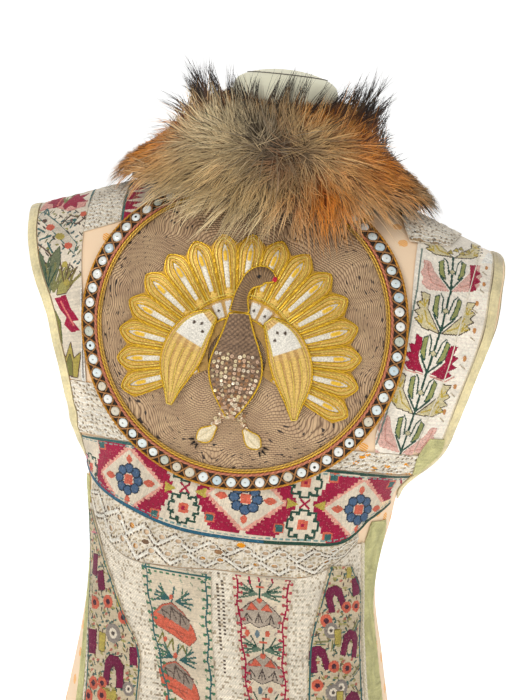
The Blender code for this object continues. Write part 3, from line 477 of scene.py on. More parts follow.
def pierced(parts, outer, inner, keep, uv, paint, edge_paint):
    """A wall of the cells that are kept: both its faces, and a rim where a kept cell has no neighbour."""
    rows, columns = outer.shape[:2]
    behind = rows * columns
    number = np.arange(behind).reshape(rows, columns)
    kept = np.pad(keep, 1)
    front = grid_quads(rows, columns)[keep.ravel()]
    faces, tints = [front, front[:, ::-1] + behind], [paint.reshape(-1, 3)[keep.ravel()]]
    for a, b, before, after in ((number[:, :-1], number[:, 1:], kept[:-1, 1:-1], kept[1:, 1:-1]),
                                (number[1:], number[:-1], kept[1:-1, :-1], kept[1:-1, 1:])):
        for here, other, p, q in ((after, before, b, a), (before, after, a, b)):
            rim = here & ~other
            faces.append(np.stack((p[rim], q[rim], q[rim] + behind, p[rim] + behind), axis=-1))
    tints.append(np.broadcast_to(edge_paint, (sum(map(len, faces[1:])), 3)))
    used, index = np.unique(np.concatenate(faces), return_inverse=True)
    points, uvs = (np.concatenate([g.reshape(-1, g.shape[-1]) for g in pair]) for pair in ((outer, inner), (uv, uv)))
    parts.add(points[used], uvs[used], index.reshape(-1, 4), np.concatenate(tints))


def run_along(points):
    """Length along a line of points from its first."""
    return np.concatenate(([0], np.cumsum(np.linalg.norm(np.diff(points, axis=0), axis=1))))


def resample(edge, count):
    """Evenly spaced points on a smooth curve through the edge's points."""
    edge = np.asarray(edge, float)
    run = run_along(edge)
    at = np.linspace(0, run[-1], count)
    return np.stack([smooth(at, run, edge[:, axis]) for axis in (0, 1)], axis=-1)


def inside(x, y, corners):
    """Whether a point is in a polygon: it is if a line from it crosses the outline an odd number of times."""
    found = np.zeros(np.shape(x), bool)
    for (x1, y1), (x2, y2) in zip(corners, np.roll(corners, -1, axis=0)):
        if y1 != y2:
            found ^= ((y1 > y) != (y2 > y)) & (x < (x2 - x1) * (y - y1) / (y2 - y1) + x1)
    return found


def away_from(x, y, path):
    """Distance to a chain of straight lines."""
    nearest = np.inf
    for (x1, y1), (x2, y2) in zip(path[:-1], path[1:]):
        dx, dy = x2 - x1, y2 - y1
        w = np.clip(((x - x1) * dx + (y - y1) * dy) / (dx * dx + dy * dy + 1e-12), 0, 1)
        nearest = np.minimum(nearest, np.hypot(x - x1 - w * dx, y - y1 - w * dy))
    return nearest


class Chart:
    """A piece of cloth between two edges, as a grid of points and the stitches between them.

    x and y are each stitch's s and t in millimetres; left and right are its distance from either edge, in
    millimetres too. Colour and relief are painted on the stitches.
    """

    def __init__(self, s, t, ground="linen", layer=1, seed=1):
        self.s, self.t = s, np.minimum(t, column_top(s, BACK) - SEAM_GAP)
        across = np.pad(np.hypot(np.diff(s), np.diff(t)).cumsum(axis=1), ((0, 0), (1, 0)))
        middle = s.shape[1] // 2
        run = run_along(joined(s[:, middle], t[:, middle]))
        self.uv = joined(across, run[:, None])
        self.x, self.y, self.left, self.run = (
            (g[1:, 1:] + g[:-1, :-1]) * MM / 2 for g in (self.s, self.t, self.uv[..., 0], self.uv[..., 1]))
        self.right = (across[1:, -1:] + across[:-1, -1:]) * MM / 2 - self.left
        self.cut = (across[:, -1].max() + 0.0002, run[-1] + 0.0002)
        self.base = LAYER_GAP + (layer - 1) * (PATCH + LAYER_GAP)
        self.random, self.cloth = np.random.default_rng(seed), shade(ground)
        self.colour = np.broadcast_to(self.cloth, (*self.x.shape, 3)).copy()
        self.relief = np.zeros(self.x.shape)

    def paint(self, mask, colour, relief=0.0004):
        mask = np.broadcast_to(mask, self.relief.shape)
        self.colour[mask], self.relief[mask] = shade(colour), relief

    def motif(self, text, *places):
        """Sews shapes at each place: x, y and, if given, turn, size and 1, -1 or, for a mirrored pair, 0.

        A shape is its kind, colours, width of line and relief in millimetres, then x,y of its
        corners. An oval has its half width and height after its middle, and a spray of strokes its length
        and their turns after its root. A ringed shape is filled, with its outline in the second colour.
        """
        for x0, y0, turn, size, mirror in (place + (0, 0, 0, 1.0, 1)[len(place):] for place in places or ((0, 0),)):
            for side in (mirror,) if mirror else (1, -1):
                x, y = turned((self.x - x0) * side / size, (self.y - y0) / size, turn * (1 if mirror else side))
                for shape in text.split(";"):
                    head, numbers = shape.split(":")
                    kind, *words = head.split()
                    colours = [w for w in words if w[0] > "9" or w[0] == "#"]
                    more = [float(w) for w in words[len(colours):]]
                    at = np.array(numbers.replace(",", " ").split(), float)
                    corners = at.reshape(-1, 2) if kind in ("fill", "line", "ringed") else None
                    wide = more.pop(0) / 2 if kind in ("line", "ringed", "spray") else None
                    relief = more[0] / MM if more else 0.0004
                    if kind == "oval":
                        mask = ((x - at[0]) / at[2]) ** 2 + ((y - at[1]) / at[3]) ** 2 < 1
                    elif kind == "fill":
                        mask = inside(x, y, corners)
                    elif kind == "spray":
                        mask = np.min([away_from(x, y, (at[:2], at[:2] + at[2] * np.array((math.cos(b), math.sin(b)))))
                                       for b in np.radians(at[3:])], axis=0) < wide
                    else:
                        mask = away_from(x, y, corners if kind == "line" else (*corners, corners[0])) < wide
                    self.paint(mask, colours[-1], relief)
                    if kind == "ringed":
                        self.paint(inside(x, y, corners), colours[0], 0.0005)

    def marks(self, step, size, slant=0.0, scatter=0.25, share=1.0, turn=0.0):
        """Small ovals in brick order: the stitches whose place in their own brick is inside an oval."""
        q = self.y / step[1]
        row = np.floor(q)
        p = (self.x + slant * self.y) / step[0] + 0.5 * (row % 2)
        lot = np.sin((np.floor(p) * 127.1 + row * 311.7)) * 43758.5453 % 1
        dx = (p % 1 - 0.5 + scatter * (lot - 0.5)) * step[0]
        dy = (q % 1 - 0.5 + scatter * ((lot * 7.3) % 1 - 0.5)) * step[1]
        u, v = turned(dx, dy, turn)
        return ((u / size[0]) ** 2 + (v / size[1]) ** 2 < 1) & (lot * 3.7 % 1 < share)

    def build(self, name, finish, slot, ripple=0.0002, streaks=0.16, keep=None):
        """The piece, in place of the node of its name: each stitch has its own shade, and its relief is
        averaged onto the points round it."""
        random, shape, sewn = self.random.random, self.relief.shape, self.relief > 0
        i, j = np.indices(shape)
        tone = 1 + streaks * (1 + 1.5 * sewn) * (random(shape) - 0.5)
        tone += streaks * (random((shape[0], 1)) - 0.5) + 0.12 * sewn * ((i + j) % 2 - 0.5)
        bare = (sewn & (random(shape) < 0.07))[..., None]
        paint = np.where(bare, self.colour * 0.88 + self.cloth * 0.12, self.colour) * tone[..., None]
        padded = np.pad(self.relief, 1, mode="edge")
        relief = (padded[1:, 1:] + padded[:-1, 1:] + padded[1:, :-1] + padded[:-1, :-1]) / 4
        outer = on_cloth(self.s, self.t, self.base + PATCH + relief + ripple * (random(relief.shape) - 0.5))
        parts = Parts()
        if keep is None:
            pick = np.linspace(0, self.s.shape[1] - 1, max(4, int(self.cut[0] / 0.005))).round().astype(int)
            inner = on_cloth(self.s[:, pick], self.t[:, pick], self.base)
            shell(parts, outer, inner, self.uv, paint, self.cloth)
        else:
            pierced(parts, outer, on_cloth(self.s, self.t, self.base), keep, self.uv, paint, self.cloth)
        made = parts.build(name + "_cloth", finish, slot, (name,))
        if self.cut[0] > 0.01:
            cell_area(outer, keep)


def ruled(edge_a, edge_b, cell, **more):
    """A chart on straight lines between two edges, with its rows along them."""
    a, b = resample(edge_a, 200), resample(edge_b, 200)
    long, wide = run_along((a + b) / 2)[-1], np.linalg.norm(a - b, axis=1).max()
    a, b = (resample(edge, int(long / cell) + 2)[:, None] for edge in (edge_a, edge_b))
    w = np.linspace(0, 1, int(wide / cell) + 2)[None, :, None]
    grid = a * (1 - w) + b * w
    return Chart(grid[..., 0], grid[..., 1], **more)


def cell_area(points, keep=None):
    """Area of a grid's cells, or of those that are kept."""
    steps = np.cross(points[1:, :-1] - points[:-1, :-1], points[:-1, 1:] - points[:-1, :-1])
    return np.linalg.norm(steps, axis=-1)[slice(None) if keep is None else keep].sum()


def cord(parts, centre, up, radius, paint, around=8, closed=False, twist=0.0, dark=0.45):
    """A tube round a path: centre + r (side cos a + up sin a), with r waved as two strands twist and painted shade
    darkening the grooves between the strands.
    """
    count = len(centre)
    ahead = np.roll(centre, -1, axis=0) - np.roll(centre, 1, axis=0)
    if not closed:
        ahead[0], ahead[-1] = centre[1] - centre[0], centre[-1] - centre[-2]
    ahead = unit(ahead)
    side = unit(np.cross(ahead, up))
    steps = np.linalg.norm(np.roll(centre, -1, axis=0) - centre, axis=1)
    run, angle = np.cumsum(steps) - steps, full_turn(around)
    wave = np.zeros((count, around))
    if twist:
        if closed:
            twist = steps.sum() / round(steps.sum() / twist)
        wave = np.cos(2 * angle - 2 * math.pi * run[:, None] / twist)
    r = np.reshape(radius, (-1, 1)) * (1 + 0.18 * wave)
    points = centre[:, None] + r[..., None] * (
        np.cos(angle)[:, None] * side[:, None] + np.sin(angle)[:, None] * np.cross(side, ahead)[:, None])
    # painted shade: darker by dark in the grooves where the twisted strands dip
    paint = (paint * (1 - dark * np.clip(0.5 - 0.5 * wave, 0, 1) ** 2)[..., None]).reshape(-1, 3)
    parts.add(points, joined(angle * r.mean(), run[:, None]), grid_quads(count, around, closed, True), paint)
    if not closed:
        parts.caps(count, around, paint)


def laid(parts, s, t, lift, thick, colour, twist=0.0032, around=6, **more):
    """A cord sewn down along a line of s and t."""
    cord(parts, on_cloth(s, t, lift), normals_at(s, t), thick, shade(colour), around=around, twist=twist, **more)


def discs(parts, middle, up, radius, rings, around, colours):
    """Many small turned shapes, one at each middle: rings of radius and height, closed on themselves."""
    side = unit(np.cross(up, (0, 0, 1.0)))
    ahead = np.cross(up, side)
    a, rings = full_turn(around)[:, None], np.array(rings)[:, None, None, :]
    points = (middle + radius[:, None] * rings[..., :1] * (np.cos(a)[..., None] * side + np.sin(a)[..., None] * ahead)
              + rings[..., 1:] * up).transpose(2, 0, 1, 3)
    faces = grid_quads(len(rings), around, True, True)
    offset = (np.arange(len(middle)) * len(rings) * around)[:, None, None]
    paint = np.broadcast_to(colours, points.shape).reshape(-1, 3)
    parts.add(points, (0, 0), (faces + offset).reshape(-1, 4), paint)


# --- Materials ---

def feed(tree, socket, value):
    """Links an input to another node's output, or sets it. Text is a colour."""
    if isinstance(value, bpy.types.NodeSocket):
        tree.links.new(value, socket)
    else:
        socket.default_value = (*shade(value), 1.0) if isinstance(value, str) else value


def node(tree, kind, *given, out=0, **named):
    """Adds a node and gives one of its outputs.

    Capitals are a kind of sum, and a word after any other kind its operation. What is given fills the first
    inputs; in_N is an input by number, another lower-case name a setting and any other name an input.
    """
    kind, operation = ("Math", kind) if kind.isupper() else kind.partition(" ")[::2]
    made = tree.nodes.new("ShaderNode" + kind)
    if operation:
        made.operation = operation
    for key, value in (*named.items(), *((f"in_{k}", v) for k, v in enumerate(given))):
        if key[:3] == "in_":
            feed(tree, made.inputs[int(key[3:])], value)
        elif key[0].islower():
            setattr(made, key, value)
        else:
            feed(tree, made.inputs[key.replace("_", " ")], value)
    return made.outputs[out]


def finish_of(name, **numbers):
    """A named material with its shader's plain numbers set, and the way to add a node to it."""
    made = bpy.data.materials.new(name)
    made.use_nodes = True
    shader = made.node_tree.nodes["Principled BSDF"]
    for socket, value in numbers.items():
        feed(made.node_tree, shader.inputs[socket.replace("_", " ")], value)
    return made, partial(node, made.node_tree)


def finished(made, colour, height=None, strength=1.0, depth=0.001):
    """Links the colour, and a bump from the height."""
    tree = made.node_tree
    sockets = tree.nodes["Principled BSDF"].inputs
    tree.links.new(colour, sockets["Base Color"])
    if height:
        tree.links.new(node(tree, "Bump", Strength=strength, Distance=depth, Height=height), sockets["Normal"])
    return made


MIX = {"data_type": "RGBA", "out": 2}
PLANE = {"noise_dimensions": "2D"}


def woven(name, pitch, slant=0.0, bump=0.5, roughness=0.85, dirt=0.16, sheen=0.15, shadow=0.22):
    """Cotton or linen thread in its painted colour: bumps one thread spacing apart, with painted shade between
    threads.

    A slant turns the rows, as long slanted stitches lie.
    """
    made, add = finish_of(name, Roughness=roughness, Sheen_Weight=sheen, Specular_IOR_Level=0.25)
    cloth, place = add("UVMap", uv_map="Cloth"), add("TexCoord", out="Object")
    x, y = add("SeparateXYZ", cloth), add("SeparateXYZ", cloth, out=1)
    rows = ((add("MULTIPLY_ADD", y, slant, x), 1.0), (y, 2.2 if slant else 1.0))
    wave = [add("SINE", add("MULTIPLY", value, math.pi / (pitch * long))) for value, long in rows]
    weave = add("ABSOLUTE", add("MULTIPLY", *wave))
    blotches = add("TexNoise", Vector=place, Scale=38.0, Detail=4.0)
    age_and_shade = add("MapRange", blotches, 0.3, 0.7, 0.75 - dirt - shadow / 2, 0.75 + dirt * 0.6 - shadow / 2)
    rough = add("MULTIPLY_ADD", add("TexNoise", Vector=place, Scale=420.0, Detail=2.0), 0.5, age_and_shade)
    # painted shade: the colour darkens by the shadow amount where the weave dips between threads
    tone = add("MULTIPLY_ADD", weave, shadow, rough)
    lit = add("VectorMath SCALE", add("VertexColor", layer_name=COLOUR), Scale=tone)
    fibres = add("TexNoise", Vector=place, Scale=900.0, Detail=2.0)
    return finished(made, lit, add("MULTIPLY_ADD", fibres, 0.6, weave), bump, 0.0007)


def printed_cotton():
    """Peach cotton poplin with round orange flowers about 9 mm across, each striped across its middle."""
    made, add = finish_of("printed cotton poplin", Roughness=0.8, Sheen_Weight=0.1, Specular_IOR_Level=0.25)
    uv, place = add("UVMap", uv_map="Cloth"), add("TexCoord", out="Object")
    cells = add("TexVoronoi", voronoi_dimensions="2D", Vector=uv, Scale=42.0, Randomness=0.55)
    wobble = add("TexNoise", Vector=uv, Scale=420.0, Detail=1.0, **PLANE)
    disc = add("MapRange", add("MULTIPLY_ADD", wobble, 0.09, cells), 0.215, 0.235, 1.0, 0.0)
    turned = add("MULTIPLY_ADD", add("SeparateXYZ", uv), 0.5, add("SeparateXYZ", uv, out=1))
    stripes = add("SINE", add("MULTIPLY", turned, 2 * math.pi / 0.0022))
    ink = add("MULTIPLY", disc, add("MapRange", stripes, -0.45, -0.05, 0.15, 1.0))
    blotches = add("TexNoise", Vector=place, Scale=30.0, Detail=4.0)
    ground = add("Mix", blotches, in_6="peach", in_7="#f2cfa9", **MIX)
    orange = add("Mix", wobble, in_6="orange", in_7="#f2a832", **MIX)
    return finished(made, add("Mix", ink, in_6=ground, in_7=orange, **MIX),
                    add("TexNoise", Vector=place, Scale=700.0, Detail=2.0), 0.25, 0.0005)


def pile(name):
    """Cotton velvet in its painted colour: a soft nap brushed darker and lighter, with a bright sheen."""
    made, add = finish_of(name, Roughness=0.9, Sheen_Weight=0.5, Sheen_Roughness=0.35, Specular_IOR_Level=0.15,
                          Sheen_Tint="#f1eec2")
    place = add("TexCoord", out="Object")
    brushed = add("TexNoise", Vector=place, Scale=55.0, Detail=5.0, Distortion=1.2)
    nap = add("TexNoise", Vector=place, Scale=1400.0, Detail=2.0)
    tone = add("MapRange", brushed, 0.3, 0.7, 0.70, 1.16)
    return finished(made, add("VectorMath SCALE", add("VertexColor", layer_name=COLOUR), Scale=tone),
                    add("MULTIPLY_ADD", brushed, 6.0, nap), 0.9, 0.0016)


def spun(name, roughness=0.5, metallic=0.0, sheen=0.0):
    """Thread, yarn or foil in its painted colour: fine fibres and small changes of shade."""
    made, add = finish_of(name, Roughness=roughness, Metallic=metallic, Sheen_Weight=sheen, Specular_IOR_Level=0.4)
    fibres = add("TexNoise", Vector=add("TexCoord", out="Object"), Scale=850.0, Detail=3.0)
    tone = add("MapRange", fibres, 0.3, 0.7, 0.74, 1.15)
    return finished(made, add("VectorMath SCALE", add("VertexColor", layer_name=COLOUR), Scale=tone), fibres,
                    0.4, 0.0005)


def couched_ground():
    """Dull gold thread laid in wavy rings over brown cloth, tied down in brick order, worn off in short slits.

    The real rows are about 1 mm apart; they are drawn 1.9 mm apart, so that the render shows them.
    """
    made, add = finish_of("couched gold thread", Roughness=0.5, Metallic=0.25, Specular_IOR_Level=0.4)
    uv = add("UVMap", uv_map="Cloth")
    from_middle = add("VectorMath SUBTRACT", uv, (0.0, MEDALLION_T, 0.0))
    radius = add("VectorMath LENGTH", from_middle, out="Value")
    bent = add("MULTIPLY_ADD", add("TexNoise", Vector=uv, Scale=16.0, Detail=1.5, **PLANE), 0.050, radius)
    row = add("MULTIPLY", bent, math.pi / 0.0019)
    brick = add("FLOOR", add("MULTIPLY", row, 1 / math.pi))
    along = add("MULTIPLY_ADD", brick, math.pi / 2, add("MULTIPLY", add("SeparateXYZ", uv), math.pi / 0.0034))
    tie = add("POWER", add("ABSOLUTE", add("SINE", along)), 0.5)
    height = add("MULTIPLY", add("ABSOLUTE", add("SINE", row)), tie)
    # patchy tone of the worn gold thread; its lighter patches are also painted glints of the metal
    wear_and_glints = add("TexNoise", Vector=uv, Scale=60.0, Detail=4.0, **PLANE)
    gold_and_glints = add("Mix", wear_and_glints, in_6="#ac8a6c", in_7="#dcbb90", **MIX)
    mixed = add("Mix", add("MapRange", height, 0.0, 0.55), in_6="#6b503a", in_7=gold_and_glints, **MIX)
    angle = add("ARCTAN2", add("SeparateXYZ", from_middle, out=1), add("SeparateXYZ", from_middle))
    place = add("CombineXYZ", bent, add("MULTIPLY", angle, 0.035))
    slub = add("TexNoise", Vector=place, Scale=480.0, Detail=1.0, **PLANE)
    bare = add("GREATER_THAN", slub, add("MapRange", radius, 0.085, 0.130, 0.78, 0.655))
    return finished(made, add("Mix", bare, in_6=mixed, in_7="#3d322b", **MIX), height, 0.7, 0.0009)


def hair(name):
    """Animal hair in its painted colour, with a soft gloss."""
    made, add = finish_of(name, Roughness=0.5, Specular_IOR_Level=0.25)
    return finished(made, add("VertexColor", layer_name=COLOUR))


def jersey():
    """Ivory cotton jersey stretched over the form: a faint knit and slight yellowing."""
    made, add = finish_of("ivory cotton jersey", Roughness=0.75, Sheen_Weight=0.1, Specular_IOR_Level=0.3)
    place = add("TexCoord", out="Object")
    age_and_shade = add("TexNoise", Vector=place, Scale=14.0, Detail=3.0)
    return finished(made, add("Mix", age_and_shade, in_6="#f1eed6", in_7="#dfdabb", **MIX),
                    add("TexNoise", Vector=place, Scale=900.0, Detail=1.0), 0.2, 0.0004)


def opal():
    """Mother-of-pearl sequins: milky plastic with a pearly gloss."""
    made, add = finish_of("pearl sequin plastic", Roughness=0.2, Specular_IOR_Level=0.6, Coat_Weight=0.4)
    cloud = add("TexNoise", Vector=add("TexCoord", out="Object"), Scale=380.0, Detail=2.0)
    tint = add("Mix", cloud, in_6="#dfeef2", in_7="#fff2ea", **MIX)
    return finished(made, add("Mix", 1.0, blend_type="MULTIPLY", in_6=add("VertexColor", layer_name=COLOUR),
                              in_7=tint, **MIX))
# --- Foundation, form and bands ---

def foundation(name, face, first, last, neck_drop, finish):
    """A foundation panel: its columns run from first to last as parts of the way out to its edges."""
    low = np.concatenate((np.linspace(HEM_Z, UNDERARM_Z, 80), np.linspace(UNDERARM_Z, BLADE_Z, 44)[1:]))
    high = np.linspace(0, 1, 30)[1:]
    across = np.linspace(first, last, 121 if first < 0 < last else 61)
    gap = FRONT_GAP / 2 if face == FRONT else 0.0
    seam = SEAM_GAP / 2 * (low <= UNDERARM_Z)
    s = np.zeros((len(low) + len(high), len(across)))
    for side in (-1, 1):
        edge = np.concatenate((low_edge(low, face, side) - seam, high_edge(high, face, side)))
        there = across * side > 0
        s[:, there] = across[there] * (edge[:, None] - gap)
    s += gap * np.sign(first + last) * (face == FRONT)
    t = low[:, None].repeat(len(across), axis=1)
    neck = 1 - (np.abs(across) * TIP_X / NECK_X) ** 2
    drop = neck_drop * np.sqrt(np.clip(neck, 0, 1))
    top = column_top(s[len(low):], face) - SEAM_GAP / 2
    t = np.vstack((t, BLADE_Z + high[:, None] * (1 - drop) * (top - BLADE_Z)))
    parts, outer = Parts(), on_cloth(s, t, 0.0, face)
    shell(parts, outer, on_cloth(s, t, -CLOTH, face), joined(s, t), np.ones((1, 3)), (1, 1, 1))
    made = parts.build(name + "_cloth", finish, "cotton", (name,))
    cell_area(outer)


def dress_form(finish):
    """A smoothed copy of the form: its loose triangles are merged, paired into quads and subdivided."""
    mesh = NODES["dress_form"].data.copy()
    mesh.materials.clear()
    work = bmesh.new()
    work.from_mesh(mesh)
    bmesh.ops.remove_doubles(work, verts=work.verts, dist=2e-5)
    bmesh.ops.join_triangles(work, faces=work.faces, angle_face_threshold=math.radians(50),
                             angle_shape_threshold=math.radians(70))
    work.to_mesh(mesh)
    work.free()
    mesh.materials.append(finish)
    mesh.shade_smooth()
    made = placed(bpy.data.objects.new("dress_form_smooth", mesh), "form_cover", ("dress_form",))
    smoother = made.modifiers.new("Subdivision", "SUBSURF")
    smoother.levels = smoother.render_levels = 2


def cap_seam(finish):
    """The thin dark line of stitching round the neck cap's rim, an ellipse of cord."""
    angle, parts = full_turn(120), Parts()
    ring = joined(0.0372 * np.cos(angle), 0.0365 * np.sin(angle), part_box("dress_form")[1][2] - 0.0064)
    cord(parts, ring, ring * (1, 1, 0), 0.0006, linear("#6d675c"), around=6, closed=True, twist=0.003)
    parts.build("cap_seam", finish, "form_cover")


BAND_WIDTH, BAND_LIFT = 0.009, 0.0009


def armhole_path(face, side):
    """The armhole edge from the underarm up to the shoulder tip: how far it is from the centre in s, and t."""
    low = UNDERARM_Z + (BLADE_Z - UNDERARM_Z) * np.linspace(0, 1, 31) ** 1.6
    high = np.linspace(0, 1, 25)[1:]
    low_s, high_s = low_edge(low, face, side), high_edge(high, face, side)
    high_t = BLADE_Z + high * (column_top(high_s, face) - BLADE_Z)
    return np.concatenate((low_s, high_s)), np.concatenate((low, high_t))


def inset(s, t, face, tangent, width):
    """Moves an edge inwards over the cloth by width: solves for the steps in s and t that give that shift."""
    step = 0.0004
    along_s = (hull(s, t, face) - hull(s - step, t, face)) / step
    along_t = (hull(s, t, face) - hull(s, t - step, face)) / step
    inward = np.cross(-face * np.cross(along_s, along_t), tangent)
    inward *= width / np.linalg.norm(inward, axis=-1, keepdims=True)
    ss, st, tt = ((p * q).sum(axis=-1) for p, q in
                  ((along_s, along_s), (along_s, along_t), (along_t, along_t)))
    right_s, right_t = (inward * along_s).sum(axis=-1), (inward * along_t).sum(axis=-1)
    scale = ss * tt - st * st
    return s + (right_s * tt - right_t * st) / scale, t + (right_t * ss - right_s * st) / scale


def band_inner_edge(levels, side):
    """The inner edge of the armhole band on the back at each level, with the seam's gap."""
    s, t = armhole_path(BACK, side)
    tangent = np.gradient(hull(s, t, BACK), axis=0)
    inner_s, inner_t = inset(s, t, BACK, tangent, BAND_WIDTH + 4 * SEAM_GAP)
    return side * np.interp(levels, inner_t, inner_s)


def armhole_band(name, side, finish):
    """The sateen band along one armhole edge, all the way round: a rounded strip with a seam line inside."""
    s_back, t_back = armhole_path(BACK, side)
    s_front, t_front = armhole_path(FRONT, side)
    s = np.concatenate((s_back, s_front[-2:0:-1]))
    t = np.concatenate((t_back, t_front[-2:0:-1]))
    on_back = np.concatenate((np.full(len(s_back), True), np.full(len(s_front) - 2, False)))[:, None]
    points = np.where(on_back, hull(s, t, BACK), hull(s, t, FRONT))
    tangent = np.roll(points, -1, axis=0) - np.roll(points, 1, axis=0)
    random = np.random.default_rng(40 + side)
    pucker = 0.0003 * random.random(len(s))
    walls = [[], []]
    for w in np.linspace(0, 1, 9):
        row = []
        for face in (BACK, FRONT):
            inner_s, inner_t = (s, t) if w == 0 else inset(s, t, face, tangent, BAND_WIDTH * w)
            row.append(np.nan_to_num((side * inner_s, inner_t)))
        puff = 0.0008 * math.sin(math.pi * w) ** 0.5 - (0.0006 if abs(w - 0.75) < 0.05 else 0) + pucker
        for wall, offset in zip(walls, (BAND_LIFT, BAND_LIFT + PATCH + puff)):
            wall.append(np.where(on_back, on_cloth(*row[0], offset, BACK), on_cloth(*row[1], offset, FRONT)))
    inner, outer = (np.stack(wall, axis=1) for wall in walls)
    run = run_along(points)
    uv = joined(np.linspace(0, BAND_WIDTH, 9), run[:, None])
    # painted shadow: the right band turns brown near its top, where the collar overhangs it
    age_and_shade = np.clip((t - 0.585) / 0.03, 0, 1)[:, None] * (side > 0)
    tone = mixed(shade("sateen"), "#7a5c3c", 0.6 * age_and_shade) * random.uniform(0.88, 1.05, (len(s), 1))
    parts = Parts()
    shell(parts, outer, inner[:, ::4], uv, np.repeat(tone[:, None], 9, axis=1), shade("sateen") * 0.7, loop=True)
    made = parts.build(name + "_cloth", finish, "sateen", (name,))
    closed = np.concatenate((outer, outer[:1]))
    cell_area(closed)


# --- Fur collar ---

COLLAR_INNER, COLLAR_END = 0.0580, 168
# how far the hair may stand past the model in depth and in height
PAST_DEPTH, PAST_TOP = 0.012, 0.024
# degrees from the centre back, where it leaves the cloth, reach of its tips, their rise, top, clearance, power
COLLAR = np.array((
    (0, 0.093, 0.130, 0.001, 0.715, 0.0070, 0.95),
    (30, 0.097, 0.133, 0.002, 0.718, 0.0070, 1.10),
    (60, 0.118, 0.144, 0.007, 0.718, 0.0070, 1.50),
    (78, 0.135, 0.150, 0.007, 0.717, 0.0056, 1.75),
    (90, 0.141, 0.152, 0.007, 0.716, 0.0040, 1.80),
    (105, 0.136, 0.148, 0.007, 0.713, 0.0014, 1.70),
    (120, 0.128, 0.142, 0.007, 0.708, 0.0011, 1.50),
    (150, 0.106, 0.126, 0.006, 0.696, 0.0011, 1.10),
    (COLLAR_END, 0.100, 0.120, 0.004, 0.682, 0.0011, 1.00),
))


def cloth_height(x, y):
    """Height of the garment's outer face over a point in plan, above blade level."""
    shape = np.shape(x)
    x, y = np.ravel(x), np.ravel(y)
    depth = np.empty(len(x))
    for face in (BACK, FRONT):
        xs, ys, _ = section(np.full(len(x), BLADE_Z), face)
        depth = np.where((y < 0) == (face == BACK), row_interp(np.abs(x), xs, ys), depth)
    arc = np.sqrt(np.clip(1 - (y / depth) ** 2, 0, 1))
    return (BLADE_Z + (shoulder_z(x) - BLADE_Z) * arc).reshape(shape)


def collar_point(phi, rise, share=1.0):
    """The collar's skin: round the neck by phi; rise 0 is the tip line below, 1 its top edge inside.

    In each section r = inner + (reach - inner) cos^p and z = tip + (top - tip) sin^p. A share under 1
    draws the point towards the section's middle.
    """
    degrees = np.abs(np.degrees(phi))
    contact, reach, lift, top, clear, power = (smooth(degrees, COLLAR[:, 0], COLLAR[:, c]) for c in range(1, 7))
    tip_z = cloth_height(contact * np.sin(phi), -contact * np.cos(phi)) + clear + 0.002 + lift
    a = np.clip(rise, 0, 1) * math.pi / 2
    r = COLLAR_INNER + (reach - COLLAR_INNER) * np.cos(a) ** power
    z = tip_z + (top - tip_z) * np.sin(a) ** power
    middle_r, middle_z = COLLAR_INNER + (reach - COLLAR_INNER) * 0.30, tip_z + (top - tip_z) * 0.35
    r, z = middle_r + (r - middle_r) * share, middle_z + (z - middle_z) * share
    return joined(r * np.sin(phi), -r * np.cos(phi), z)


def mixed(colour, other, share):
    return colour * (1 - share) + shade(other) * share


def blot(degrees, rise, at, high, wide, tall):
    """A soft oval patch on the collar, 1 in its middle."""
    return np.exp(-((degrees - at) / wide) ** 2 - ((rise - high) / tall) ** 2)


def patches(phi, rise):
    """How far the fur is rust, slate and pale at a place on the collar, each from 0 to 1."""
    degrees = np.degrees(phi)
    rust = np.max([0.95 * blot(degrees, rise, 62, 0.50, 26, 0.5), 0.95 * blot(degrees, rise, 30, 0.12, 14, 0.2),
                   0.9 * blot(degrees, rise, 34, 0.80, 26, 0.16), 0.95 * blot(degrees, rise, -72, 0.45, 22, 0.6),
                   0.7 * blot(degrees, rise, 12, 0.40, 6, 0.10), 0.7 * blot(degrees, rise, -40, 0.9, 40, 0.12),
                   0.8 * np.clip((np.abs(degrees) - 95) / 25, 0, 1)], axis=0)
    slate = np.max([blot(degrees - 8 + 60 * (rise - 0.45), rise, 0, 0.50, 11, 0.24),
                    0.8 * blot(degrees, rise, 8, 0.36, 10, 0.10),
                    0.9 * blot(np.abs(degrees), rise, 90, 0.2, 11, 0.4)], axis=0)
    pale = np.maximum(blot(degrees, rise, -24, 0.60, 26, 0.25), 0.8 * np.clip(1 - rise / 0.2, 0, 1))
    return rust[..., None], slate[..., None], pale[..., None]


